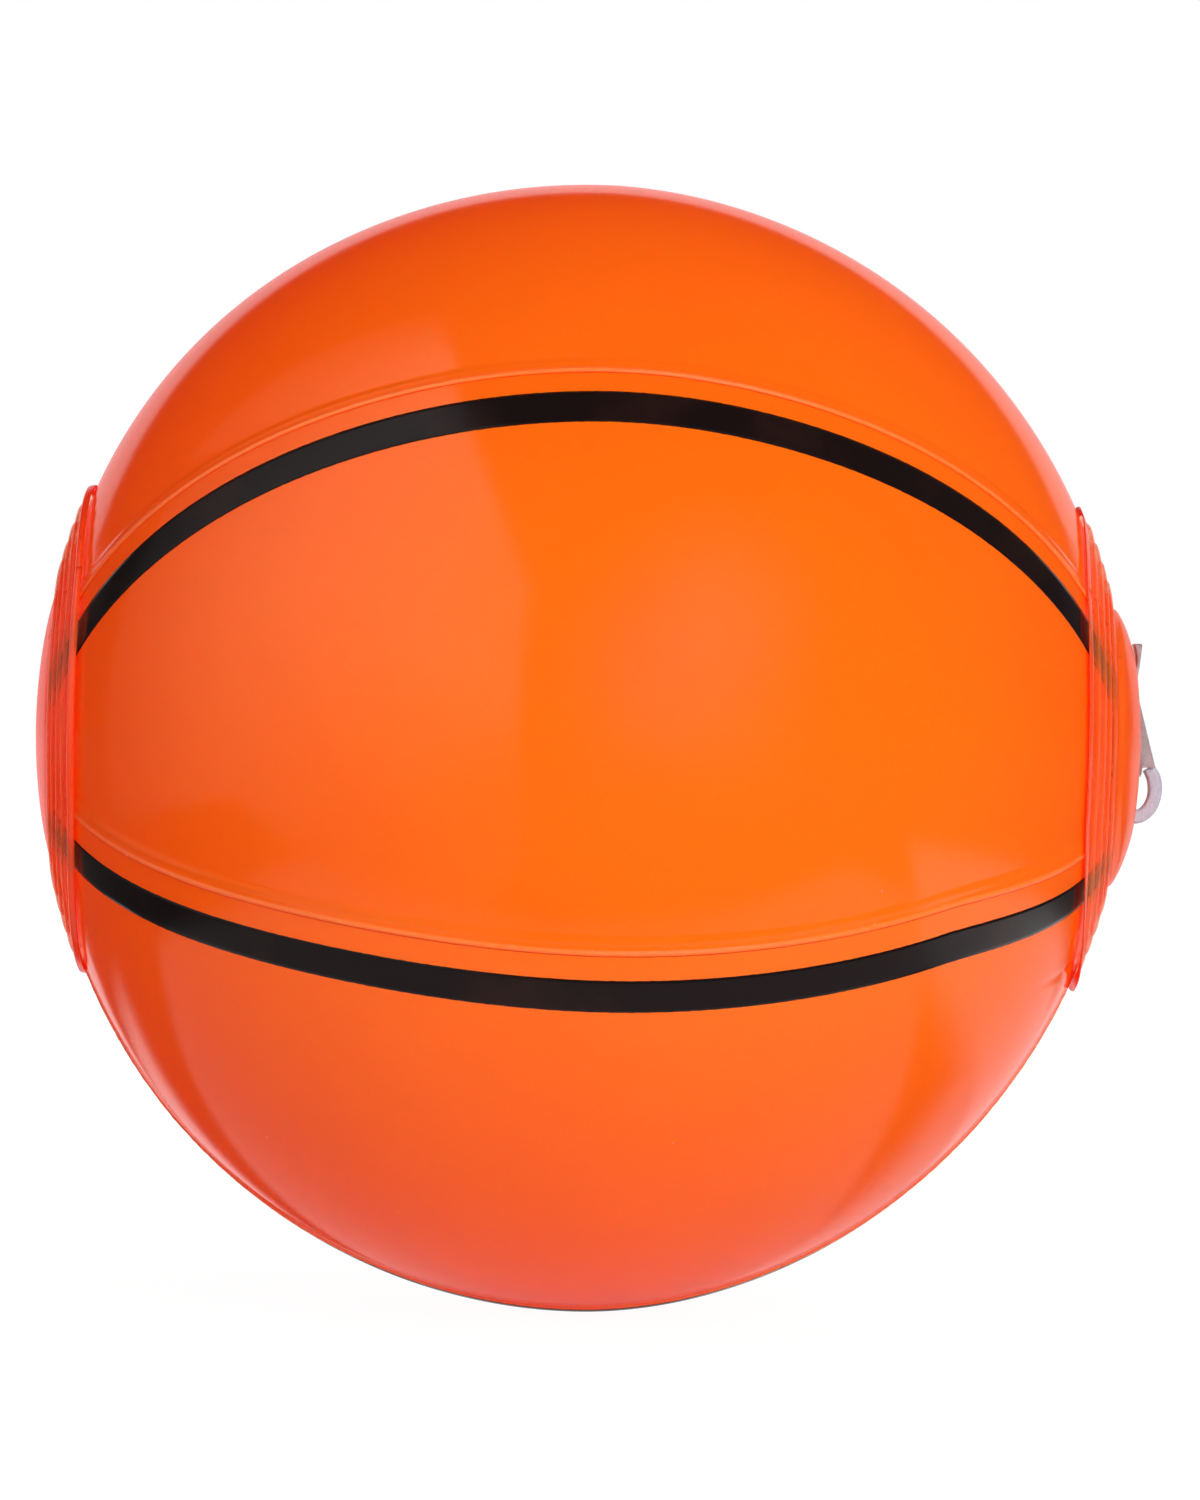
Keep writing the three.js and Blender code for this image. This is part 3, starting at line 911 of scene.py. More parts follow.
@dataclass
class FilmPanels:
    """Lapped panels of film, with the stripe printed below the upper seam of each."""

    shape: BallShape
    film: FilmFinish
    ink: InkFinish
    end_reach: float = 37.0 * MM
    disc_radius: float = 60.6 * MM
    lap: float = 4.0 * MM
    lap_step: float = 1.5 * MM
    lap_share: float = 0.75
    bead_height: float = 0.32 * MM
    bead_place: float = 0.90 * MM
    bead_width: float = 0.50 * MM
    bead_ripple: float = 0.35
    bead_ripple_length: float = 1.7 * MM
    weld_mark_depth: float = 0.07 * MM
    weld_mark_place: float = 2.7 * MM
    edge_round: float = 0.5 * MM
    edge_drop: float = 0.27 * MM
    stripe_offset: float = 5.9 * MM
    stripe_width: float = 8.0 * MM
    top_stripe_extra: float = 1.2 * MM
    stripe_ink: float = 0.06 * MM
    stripe_gap: float = 0.02 * MM
    stripe_jitter: float = 0.10 * MM
    stripe_jitter_length: float = 1.6 * MM
    stripe_jitter_power: int = 6
    wobble: float = 0.13 * MM
    wobble_length: float = 60.0 * MM
    seam_pucker: float = 0.055 * MM
    seam_pucker_length: float = 5.0 * MM
    lower_pucker_reach: float = 7.0 * MM
    upper_pucker_reach: float = 5.0 * MM
    pucker_depth: float = 25.0 * MM
    disc_pucker: float = 0.13 * MM
    disc_pucker_length: float = 6.0 * MM
    disc_pucker_reach: float = 9.0 * MM
    disc_pucker_depth: float = 30.0 * MM
    disc_pucker_end: float = 40.0 * MM
    crease_start: Vector = field(default_factory=lambda: Vector((108.0, 0.0, -57.2)) * MM)
    crease_end: Vector = field(default_factory=lambda: Vector((123.5, 0.0, -47.5)) * MM)
    crease_depth: float = 0.28 * MM
    crease_width: float = 0.8 * MM
    crease_bow: float = 1.4 * MM
    seam_drop: float = 2.1 * MM
    top_seam_lean: float = math.radians(10.7)
    top_lean_start: float = 1.35
    low_seam_lean: float = math.radians(5.5)
    low_lean_start: float = 0.90
    low_lean_width: float = 0.45
    low_lean_most: float = 1.2
    low_lean_power: float = 1.5
    low_seam_rise: float = math.radians(1.0)
    low_rise_place: float = 2.05
    low_rise_width: float = 0.45
    rows: int = 300
    edge_columns: int = 26
    columns: int = 96
    stripe_columns: int = 10
    edge_zone: float = 6.5 * MM
    edge_crowding: float = 1.15

    def seam_lean(self, seam: int, polar: float) -> float:
        """Turn by which one of the two front seams strays from its meridian.

        Args:
            seam: Number of the seam, from 0 for the upper front one.
            polar: Polar angle.

        Returns:
            The turn.
        """
        if seam % self.shape.panel_count == 0:
            past = max(0.0, polar - self.top_lean_start) / (math.pi - self.top_lean_start)
            return -self.top_seam_lean * past**2
        if seam != 1:
            return 0.0
        sunk = min(self.low_lean_most, max(0.0, (self.low_lean_start - polar) / self.low_lean_width))
        raised = bell(polar - self.low_rise_place, self.low_rise_width)
        return self.low_seam_rise * raised - self.low_seam_lean * sunk**self.low_lean_power

    def seam_turn(self, seam: int, polar: float) -> float:
        """Turn of a seam, which runs along the upper edge of the panel of its number, at a polar angle.

        Args:
            seam: Number of the seam.
            polar: Polar angle.

        Returns:
            The turn.
        """
        meridian = self.shape.first_seam_turn - seam * self.shape.panel_turn
        drop = self.seam_drop / self.shape.circle(polar, meridian)
        return meridian - drop + self.seam_lean(seam, polar)

    def row_polar(self, panel: int, along: float) -> float:
        """Polar angle of a row of a panel, at a share of the way from the valve end.

        Args:
            panel: Number of the panel, from 0.
            along: Share from 0 to 1.

        Returns:
            The polar angle.
        """
        turn = self.seam_turn(panel, math.pi / 2)
        first = self.shape.polar_at(End.VALVE, self.end_reach, turn, 0.0)
        last = self.shape.polar_at(End.PLAIN, self.end_reach, turn, 0.0)
        return between(first, last, along)

    def wobble_at(self, place: Vector) -> float:
        """Slow unevenness of the blown-up film at a point."""
        return self.wobble * noise.noise(place / self.wobble_length)

    def pucker(self, panel: int, polar: float, from_edge: float, below_seam: float) -> float:
        """Height of the fine gathers along the seams.

        Args:
            panel: Number of the panel.
            polar: Polar angle.
            from_edge: Distance from the panel's lower edge.
            below_seam: Distance below the seam along its upper edge.

        Returns:
            The height.
        """
        along = polar * self.shape.radius / self.seam_pucker_length
        lower = noise.noise(Vector((along, 7.3 * panel, from_edge / self.pucker_depth)))
        upper = noise.noise(Vector((along * 0.9, 3.1 * panel + 40, below_seam / self.pucker_depth)))
        fade = math.exp(-from_edge / self.lower_pucker_reach)
        upper_fade = math.exp(-max(0.0, below_seam) / self.upper_pucker_reach)
        return self.seam_pucker * (lower * fade + upper * upper_fade)

    def gather(self, place: Vector, turn: float) -> float:
        """Height of the gathers round an end disc.

        Args:
            place: Point on the film.
            turn: Turn of the point.

        Returns:
            The height.
        """
        reach = math.hypot(place.y, place.z - self.shape.pole_rise)
        beyond = reach - self.disc_radius
        if beyond > self.disc_pucker_end:
            return 0.0
        end = 1.0 if place.x > 0 else -1.0
        along = turn * self.disc_radius / self.disc_pucker_length
        waves = noise.noise(Vector((along, 11 * end, beyond / self.disc_pucker_depth)))
        return self.disc_pucker * waves * math.exp(-abs(beyond) / self.disc_pucker_reach)

    def crease(self, place: Vector) -> float:
        """Depth of the fold below the lower seam near the valve end.

        Args:
            place: Point on the film.

        Returns:
            The depth, as a negative height.
        """
        if place.y > 0:
            return 0.0
        line = self.crease_end - self.crease_start
        flat = Vector((place.x - self.crease_start.x, 0.0, place.z - self.crease_start.z))
        share = flat.dot(line) / line.length_squared
        bow = self.crease_bow * (1 - (2 * share - 1) ** 2)
        away = flat.cross(line).y / line.length + bow
        fade = smooth_step(share, -0.15, 0.25) * (1 - smooth_step(share, 0.95, 1.2))
        return -self.crease_depth * fade * bell(away, self.crease_width)

    def film_point(self, panel: int, polar: float, turn: float, lift: float) -> Vector:
        """Point on the outer face of a panel.

        Args:
            panel: Number of the panel.
            polar: Polar angle.
            turn: Turn.
            lift: Height over the film's outer face.

        Returns:
            The point.
        """
        level = self.shape.point(polar, turn, self.shape.film)
        circle = self.shape.circle(polar, turn)
        below_seam = (self.seam_turn(panel, polar) - turn) * circle
        from_edge = (turn - self.seam_turn(panel + 1, polar)) * circle
        off_lap = smooth_step(from_edge, self.lap - self.lap_step, self.lap + self.lap_step)
        lap_rise = (self.shape.seam_rise - self.shape.clearance / 4) * (1 - off_lap) * self.lap_share
        along = polar * self.shape.radius / self.bead_ripple_length
        ripple = 1 + self.bead_ripple * noise.noise(Vector((along, panel * 5.1, 0.0)))
        bead = self.bead_height * ripple * bell(from_edge - self.bead_place, self.bead_width)
        mark = self.weld_mark_depth * bell(from_edge - self.weld_mark_place, self.bead_width)
        rounding = self.edge_drop * (1 - smooth_step(from_edge, 0.0, self.edge_round))
        relief = self.wobble_at(level) + self.pucker(panel, polar, from_edge, below_seam)
        relief += self.gather(level, turn) + self.crease(level)
        rise = lift + lap_rise + bead - mark - rounding + relief
        return self.shape.point(polar, turn, self.shape.film + rise)

    def panel_place(self, panel: int, across: float, along: float) -> Vector:
        """Point of a panel's grid, across from its lower edge and along from the valve end."""
        polar = self.row_polar(panel, along)
        return self.film_point(panel, polar, self.panel_turn_at(panel, across, polar), 0.0)

    def panel_turn_at(self, panel: int, across: float, polar: float) -> float:
        """Turn of a column of a panel, finer spaced along its lower edge.

        Args:
            panel: Number of the panel.
            across: Share from its lower edge.
            polar: Polar angle.

        Returns:
            The turn.
        """
        edge_share = self.edge_columns / self.columns
        upper = self.seam_turn(panel, polar)
        lower = self.seam_turn(panel + 1, polar)
        turn_per_length = 1 / self.shape.circle(polar, upper)
        zone = lower + self.edge_zone * turn_per_length
        if across < edge_share:
            return between(lower, zone, (across / edge_share) ** self.edge_crowding)
        return between(zone, upper + self.lap * turn_per_length, (across - edge_share) / (1 - edge_share))

    def panel_chart(self, panel: int, across: float, along: float) -> tuple[float, float]:
        """UV place in a panel's grid: distance from its lower edge and along it.

        Args:
            panel: Number of the panel.
            across: Share from its lower edge.
            along: Share from the valve end.

        Returns:
            The UV place.
        """
        polar = self.row_polar(panel, along)
        from_edge = self.panel_turn_at(panel, across, polar) - self.seam_turn(panel + 1, polar)
        circle = self.shape.circle(polar, self.seam_turn(panel, polar))
        return from_edge * circle, polar * self.shape.radius + panel

    def stripe_place(self, panel: int, across: float, along: float) -> Vector:
        """Point of a stripe's grid.

        Args:
            panel: Number of the panel.
            across: Share from the stripe's upper edge.
            along: Share from the valve end.

        Returns:
            The point.
        """
        width = self.stripe_width + (self.top_stripe_extra if panel == 0 else 0.0)
        polar = self.row_polar(panel, along)
        upper = self.seam_turn(panel, polar)
        length = polar * self.shape.radius / self.stripe_jitter_length
        waver = noise.noise(Vector((length, 9.0 * panel, 30.0 * round(across))))
        at_edges = abs(2 * across - 1) ** self.stripe_jitter_power
        below = self.stripe_offset + width * across + self.stripe_jitter * waver * at_edges
        turn = upper - below / self.shape.circle(polar, upper)
        return self.film_point(panel, polar, turn, self.stripe_gap + self.stripe_ink)

    def build(self) -> None:
        """Makes the panels and stripes and rides them on the ball."""
        film = self.film.make()
        ink = self.ink.make()
        for panel in range(self.shape.panel_count):
            number = panel + 1
            place = partial(self.panel_place, panel)
            sheet = laid_grid(self.columns, self.rows, place, partial(self.panel_chart, panel))
            add_sheet(f"film_panel_{number}", sheet, film, Slot.PANEL, f"panel_{number}", self.shape.film)
            band = laid_grid(self.stripe_columns, self.rows, partial(self.stripe_place, panel))
            add_sheet(f"printed_stripe_{number}", band, ink, Slot.STRIPE, f"stripe_{number}", self.stripe_ink)


@dataclass
class EndDiscs:
    """Discs welded over the two poles, with pressed weld rings and a dome inside them."""

    shape: BallShape
    radius: float = 60.6 * MM
    film: float = 0.3 * MM
    ring_count: int = 5
    ring_pitch: float = 4.7 * MM
    ring_height: float = 0.95 * MM
    valve_ring_share: float = 0.55
    dome_margin: float = 2.1 * MM
    plain_dome_rise: float = 1.2 * MM
    valve_dome_rise: float = 4.3 * MM
    margin_stand: float = 0.10 * MM
    margin_flare: float = 1.5 * MM
    margin_flare_turn: float = math.radians(-72.0)
    margin_flare_width: float = math.radians(34.0)
    skirt_drop: float = 1.3 * MM
    skirt_width: float = 0.4 * MM
    skirt_rings: int = 3
    hollow_depth: float = 5.4 * MM
    hollow_slope_height: float = 12.0 * MM
    hollow_slope_width: float = 8.0 * MM
    flange_radius: float = 12.0 * MM
    hole_radius: float = 8.8 * MM
    plain_middle: float = 0.05 * MM
    ring_crest: float = 0.12
    ring_foot: float = 0.60
    ring_rise: float = 0.80
    margin_fall: Span = (-0.35, 0.85)
    ripple: float = 0.05 * MM
    ripple_length: float = 14.0 * MM
    ripple_width: float = 6.0 * MM
    ripple_start: float = 20.0 * MM
    turns: int = 300
    rings: int = 128
    band_rings: int = 90
    middle_crowding: float = 0.9

    @property
    def seat(self) -> float:
        """Height of a disc's inner face over the inside of the film."""
        return 2 * self.shape.seam_rise

    @property
    def inner_ring_radius(self) -> float:
        """Radius of the innermost weld ring."""
        return self.radius - (self.ring_count - 1) * self.ring_pitch

    @property
    def dome_radius(self) -> float:
        """Radius of the dome inside the weld rings."""
        return self.inner_ring_radius - self.ring_pitch - self.dome_margin

    @property
    def valve_floor(self) -> float:
        """X of the disc's outer face on the floor of the hollow for the valve."""
        top = self.shape.film_radius(0.0, 0.0) + self.seat + self.film + self.valve_dome_rise
        return top - self.hollow_depth

    def dome_lift(self, end: End, reach: float) -> float:
        """Height of the dome over the disc's flat level."""
        rise = self.valve_dome_rise if end is End.VALVE else self.plain_dome_rise
        return rise * math.sqrt(max(0.0, 1 - (reach / self.dome_radius) ** 2))

    def ring_lift(self, end: End, reach: float, turn: float) -> float:
        """Height of the pressed rings, and of the margin that stands free at the valve end.

        Args:
            end: Pole of the disc.
            reach: Distance from the pole axis.
            turn: Turn.

        Returns:
            The height.
        """
        steps = max(0.0, (self.radius - reach) / self.ring_pitch)
        ring = math.floor(steps)
        phase = steps - ring
        if ring >= self.ring_count:
            return 0.0
        falling = 1 - smooth_step(phase, self.ring_crest, self.ring_foot)
        rising = smooth_step(phase, self.ring_rise, 1.0) if ring < self.ring_count - 1 else 0.0
        height = self.ring_height * (self.valve_ring_share if end is End.VALVE else 1.0)
        if end is End.PLAIN or ring > 0:
            return height * (falling + rising)
        from_flare = (turn - self.margin_flare_turn + math.pi) % (2 * math.pi) - math.pi
        flare = self.margin_flare * bell(from_flare, self.margin_flare_width)
        return (self.margin_stand + flare) * (1 - smooth_step(phase, *self.margin_fall)) + height * rising

    def point(self, end: End, reach: float, turn: float, drop: float = 0.0) -> Vector:
        """Point on the outer face of a disc.

        Args:
            end: Pole of the disc.
            reach: Distance from the pole axis.
            turn: Turn.
            drop: Depth below the outer face.

        Returns:
            The point.
        """
        lift = self.seat + self.film + self.ring_lift(end, reach, turn) + self.dome_lift(end, reach) - drop
        marks = (turn * reach / self.ripple_length, reach / self.ripple_width, 5.0 * end.value)
        band = smooth_step(reach, self.ripple_start, self.inner_ring_radius)
        lift += self.ripple * noise.noise(Vector(marks)) * band
        place = self.shape.point(self.shape.polar_at(end, reach, turn, lift, 3), turn, lift)
        if end is End.VALVE:
            sideways = math.cos(turn) * self.hollow_slope_width
            slope = math.hypot(sideways, math.sin(turn) * self.hollow_slope_height)
            climb = smooth_step(reach, self.flange_radius, self.flange_radius + slope)
            place.x = between(self.valve_floor, place.x, climb)
        return place

    def lying_level(self, height: float, width: float, gap: float = 0.5 * MM) -> float:
        """Level over the hollow's floor at which a strip lies on the disc, at a height over the valve.

        Args:
            height: Height over the valve's axis.
            width: Width of the strip.
            gap: Space left under it.

        Returns:
            The level.
        """
        levels = [
            self.point(End.VALVE, math.hypot(across, height), math.atan2(height, -across)).x
            for across in (0.0, width / 2)
        ]
        return max(levels) - self.valve_floor + gap

    def skirt_share(self, end: End) -> float:
        """Share of a disc's rings that turn down round its rim."""
        return self.skirt_rings / self.rings if end is End.PLAIN else 0.0

    def disc_place(self, end: End, across: float, along: float) -> Vector:
        """Point of a disc's grid.

        Args:
            end: Pole of the disc.
            across: Share of the way round the pole.
            along: Share of the way from the middle to the rim.

        Returns:
            The point.
        """
        skirt_share = self.skirt_share(end)
        turn = self.shape.first_seam_turn + 2 * math.pi * across
        flat_share = along / (1 - skirt_share)
        if flat_share <= 1:
            return self.point(end, self.reach_at(end, flat_share), turn)
        over = (flat_share - 1) * (1 - skirt_share) / skirt_share * math.pi / 2
        reach = self.radius + self.skirt_width * math.sin(over)
        return self.point(end, reach, turn, self.skirt_drop * (1 - math.cos(over)))

    def reach_at(self, end: End, share: float) -> float:
        """Distance from the pole axis of a ring of the grid, finer spaced over the weld rings.

        Args:
            end: Pole of the disc.
            share: Share of the way from the middle to the rim.

        Returns:
            The distance.
        """
        inner = self.hole_radius if end is End.VALVE else self.plain_middle
        band = self.inner_ring_radius - self.ring_pitch
        split = 1 - self.band_rings / self.rings
        if share < split:
            return between(inner, band, (share / split) ** self.middle_crowding)
        return between(band, self.radius, (share - split) / (1 - split))

    def disc_chart(self, end: End, across: float, along: float) -> tuple[float, float]:
        """UV place in a disc's grid: distance from its rim and round it."""
        reach = self.reach_at(end, min(1.0, along / (1 - self.skirt_share(end))))
        return self.radius - reach, 2 * math.pi * across * self.radius + end.value

    def build(self) -> None:
        """Makes both discs and rides them on the ball."""
        finishes = {
            End.PLAIN: DiscFinish("plain_disc_film", (0.95, 0.225, 0.020, 1.0), (0.92, 0.195, 0.015, 1.0)),
            End.VALVE: DiscFinish(
                "valve_disc_film",
                (0.97, 0.280, 0.020, 1.0),
                (0.95, 0.250, 0.016, 1.0),
                rim_share=0.96,
                rim_width=2.1 * MM,
                # Fainter painted red glow on the valve disc.
                painted_glow_strength=0.08,
                stout_below=-48.0 * MM,
                ior=1.62,
            ),
        }
        names = {End.PLAIN: ("plain_end_disc", "plain_cap"), End.VALVE: ("valve_end_disc", "valve_cap")}
        for end in End:
            place = partial(self.disc_place, end)
            sheet = laid_grid(self.turns, self.rings, place, partial(self.disc_chart, end))
            bmesh.ops.remove_doubles(sheet, verts=sheet.verts, dist=MERGE_DISTANCE)
            name, node = names[end]
            add_sheet(name, sheet, finishes[end].make(), Slot.DISC, node, self.film)


@dataclass
class PushInValve:
    """Valve pushed into the hollow of its disc: flange, folded web, stem and check flap.

    Distances along the axis count from the floor of the hollow, outwards.
    """

    discs: EndDiscs
    bore_radius: float = 3.8 * MM
    stem_wall: float = 2.2 * MM
    stem_depth: float = 20.0 * MM
    collar_margin: float = 0.5 * MM
    collar_thickness: float = 1.8 * MM
    web_film: float = 0.5 * MM
    web_fold_gap: float = 1.2 * MM
    web_depth: float = 10.0 * MM
    flange_width: float = 3.2 * MM
    flange_thickness: float = 1.0 * MM
    flap_thickness: float = 0.6 * MM
    flap_overlap: float = 0.8 * MM
    soft_edge: float = 0.35 * MM
    thin_edge: float = 0.2 * MM
    fold_reach: float = 1.5 * MM
    fold_steps: int = 8
    steps: int = 96

    @property
    def middle(self) -> Vector:
        """Point of the pole axis on the floor of the hollow."""
        return Vector((self.discs.valve_floor, 0.0, self.discs.shape.pole_rise))

    @property
    def clearance(self) -> float:
        """Space left between two layers."""
        return self.discs.shape.clearance

    @property
    def stem_radius(self) -> float:
        """Outer radius of the stem."""
        return self.bore_radius + self.stem_wall

    @property
    def collar_radius(self) -> float:
        """Radius of the collar that rests over the hole."""
        return self.discs.hole_radius + self.collar_margin

    @property
    def flange_top(self) -> float:
        """Level of the flange's outer face, just under the disc."""
        return -self.discs.film - self.clearance

    @property
    def collar_top(self) -> float:
        """Level of the collar's outer face."""
        return self.clearance + self.collar_thickness

    def flange(self) -> BMesh:
        """Flat ring welded inside the disc, round the hole.

        Returns:
            The mesh.
        """
        low = self.flange_top - self.flange_thickness
        inner = self.discs.hole_radius
        outer = inner + self.flange_width
        ring = [(self.flange_top, inner), (self.flange_top, outer), (low, outer), (low, inner)]
        mesh = turned(ring, self.steps, self.middle)
        soften_edges(mesh, self.thin_edge)
        return mesh

    def stem(self) -> BMesh:
        """Tube that the ball is blown up through, with its collar.

        Returns:
            The mesh.
        """
        profile = [
            (self.collar_top, self.bore_radius),
            (self.collar_top, self.collar_radius),
            (self.clearance, self.collar_radius),
            (self.clearance, self.stem_radius),
            (-self.stem_depth, self.stem_radius),
            (-self.stem_depth, self.bore_radius),
        ]
        mesh = turned(profile, self.steps, self.middle)
        soften_edges(mesh, self.soft_edge)
        return mesh

    def flap(self) -> BMesh:
        """Round flap over the stem's inner end.

        Returns:
            The mesh.
        """
        radius = self.bore_radius + self.flap_overlap
        face = -self.stem_depth - self.clearance
        back = face - self.flap_thickness
        profile = [(face, 0.0), (face, radius), (back, radius), (back, 0.0)]
        mesh = turned(profile, self.steps // 2, self.middle)
        soften_edges(mesh, self.thin_edge)
        return mesh

    def sleeve(self, radius: float, fold: float) -> BMesh:
        """One wall of the folded web with its half of the fold.

        Args:
            radius: Radius of the wall's middle.
            fold: 1 where the fold lies outside the wall and -1 where it lies inside.

        Returns:
            The mesh.
        """
        half = self.web_film / 2
        reach = (self.web_fold_gap + self.web_film) / 2
        start = self.flange_top - self.web_depth + reach + half
        angles = [math.pi / 2 * step / self.fold_steps for step in range(self.fold_steps + 1)]

        def bend(size: float) -> list[tuple[float, float]]:
            """Corners of a quarter turn of some radius round the fold's middle.

            Args:
                size: The radius.

            Returns:
                The corners.
            """
            return [
                (start - size * math.sin(angle), radius + fold * (reach - size * math.cos(angle)))
                for angle in angles
            ]

        first = (self.flange_top, radius - fold * half)
        last = (self.flange_top, radius + fold * half)
        profile = [first, *bend(reach + half), *reversed(bend(reach - half)), last]
        return turned(profile, self.steps, self.middle)

    def build(self) -> None:
        """Makes the valve's pieces and rides all but the web's inner wall on their bodies; the inner wall is
        left unattached.
        """
        colours = ((0.90, 0.84, 0.82, 1.0), (0.82, 0.74, 0.72, 1.0))
        clear = SoftVinylFinish("clear_valve_vinyl", *colours, clearness=0.75).make()
        inner = self.stem_radius + self.clearance + self.web_film / 2
        outer = inner + self.web_fold_gap + self.web_film
        for name, mesh, node, body in (
            ("welded_flange", self.flange(), "valve_flange", Body.BALL),
            ("valve_tube", self.stem(), "valve_stem", Body.STEM),
            ("air_check_flap", self.flap(), "check_flap", Body.FLAP),
            ("web_outer_wall", self.sleeve(outer, -1.0), "valve_web", Body.BALL),
        ):
            put_in_place(new_piece(name, mesh, clear, Slot.CLEAR), node, body)
        wall = new_piece("web_inner_wall", self.sleeve(inner, 1.0), clear, Slot.CLEAR)
        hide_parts("valve_web")
        fold = self.middle + Vector((self.flange_top - self.web_depth + self.fold_reach, 0.0, 0.0))
        rim = self.middle + Vector((self.flange_top, 0.0, 0.0))
        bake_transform(wall)


@dataclass
class PlugAndStrap:
    """Plug with its pin, grip, slanted plate and pull tab, and the looped strap that keeps it on the valve.

    Levels count outwards from the floor of the hollow, and heights upwards from the pole axis.
    """

    valve: PushInValve
    pin_length: float = 12.4 * MM
    pin_tip: float = 1.2 * MM
    grip_radius: float = 7.3 * MM
    grip_height: float = 2.6 * MM
    plate_width: float = 9.0 * MM
    plate_low_reach: float = 6.1 * MM
    plate_low_end: float = 5.0 * MM
    plate_bend_height: float = 15.1 * MM
    plate_bend_thickness: float = 1.7 * MM
    tab_height: float = 25.9 * MM
    tab_tip_thickness: float = 2.4 * MM
    tab_neck_thickness: float = 0.9 * MM
    tab_round: float = 1.5 * MM
    tab_narrowing: float = 0.35
    plate_squareness: float = 0.4
    plate_around: int = 48
    plate_along: int = 60
    strap_width: float = 6.0 * MM
    strap_root_thickness: float = 1.5 * MM
    strap_arm_drop: float = 13.0 * MM
    strap_squareness: float = 0.5
    strap_start_drop: float = 0.1 * MM
    strap_start_thinning: float = 0.3 * MM
    strap_arm_swell: float = 1.1
    strap_around: int = 36
    strap_along: int = 90
    shoulder_drop: float = 7.6 * MM
    shoulder_share: float = 0.78
    loop_thickness: float = 3.5 * MM
    loop_reach: float = 10.3 * MM
    loop_drop: float = 19.1 * MM
    loop_centre_reach: float = 3.4 * MM
    loop_centre_drop: float = 10.5 * MM
    loop_degrees: tuple[int, ...] = (0, -22, -45, -68, -90)
    loop_end_degrees: int = -108
    loop_end_share: float = 0.8
    still_level: float = 1.5 * MM
    pulled_level: float = 8.5 * MM
    voxel: float = 0.17 * MM
    melt_rounds: int = 6

    @property
    def seat(self) -> float:
        """Level of the grip's underside."""
        return self.valve.collar_top + self.valve.clearance

    def plate_faces(self, height: float) -> tuple[float, float]:
        """Levels of the plate's and tab's inner and outer faces at a height.

        Args:
            height: Height over the pole axis.

        Returns:
            The two levels.
        """
        lying = self.valve.discs.lying_level
        low = -self.plate_low_end
        bend = self.plate_bend_height
        neck = (bend + self.tab_height) / 2
        bend_under = lying(bend, self.plate_width)
        top_marks = [
            (low, self.seat + self.plate_low_reach),
            (bend, bend_under + self.plate_bend_thickness),
            (neck, lying(neck, self.plate_width) + self.tab_neck_thickness),
            (self.tab_height, lying(self.tab_height, self.plate_width) + self.tab_tip_thickness),
        ]
        under_marks = [
            (low, self.seat + self.grip_height / 2),
            (self.valve.collar_radius, self.seat),
            (bend, bend_under),
        ]
        under = lying(height, self.plate_width) if height > bend else self._level(under_marks, height)
        return under, self._level(top_marks, height)

    def _level(self, marks: list[tuple[float, float]], height: float) -> float:
        """Level at a height on a bent line through marks of height and level.

        Args:
            marks: Height and level of each mark.
            height: Height.

        Returns:
            The level.
        """
        for (first, low_level), (last, high_level) in zip(marks, marks[1:]):
            if height <= last:
                return between(low_level, high_level, (height - first) / (last - first))
        return marks[-1][1]

    def plate(self) -> BMesh:
        """Slanted plate and pull tab, as a closed tube of flat oval sections.

        Returns:
            The mesh.
        """
        middle = self.valve.middle

        def place(across: float, along: float) -> Vector:
            """Point round a section, at a share of the way up the plate.

            Args:
                across: Share of the way round a section.
                along: Share of the tube's length.

            Returns:
                The point.
            """
            height = between(-self.plate_low_end, self.tab_height, along)
            under, top = self.plate_faces(height)
            side, face = oval(2 * math.pi * across, self.plate_squareness)
            past_tip = (height - self.tab_height) / self.tab_round
            end = 1 - smooth_step(past_tip, -1.0, 1.0) * self.tab_narrowing
            level = (under + top) / 2 + face * (top - under) / 2
            return middle + Vector((level, side * end * self.plate_width / 2, height))

        return closed_tube(self.plate_around, self.plate_along, place)

    def plug(self) -> BMesh:
        """Pin and grip, with the plate over them.

        Returns:
            The mesh.
        """
        grip_top = self.seat + self.grip_height
        pin_radius = self.valve.bore_radius - self.valve.clearance
        tip = self.seat - self.pin_length
        profile = [
            (grip_top, 0.0),
            (grip_top, self.grip_radius),
            (self.seat, self.grip_radius),
            (self.seat, pin_radius),
            (tip + self.pin_tip, pin_radius),
            (tip, pin_radius - self.pin_tip),
            (tip, 0.0),
        ]
        mesh = turned(profile, self.valve.steps, self.valve.middle)
        data = mesh_data("plate", self.plate())
        mesh.from_mesh(data)
        bpy.data.meshes.remove(data)
        return mesh

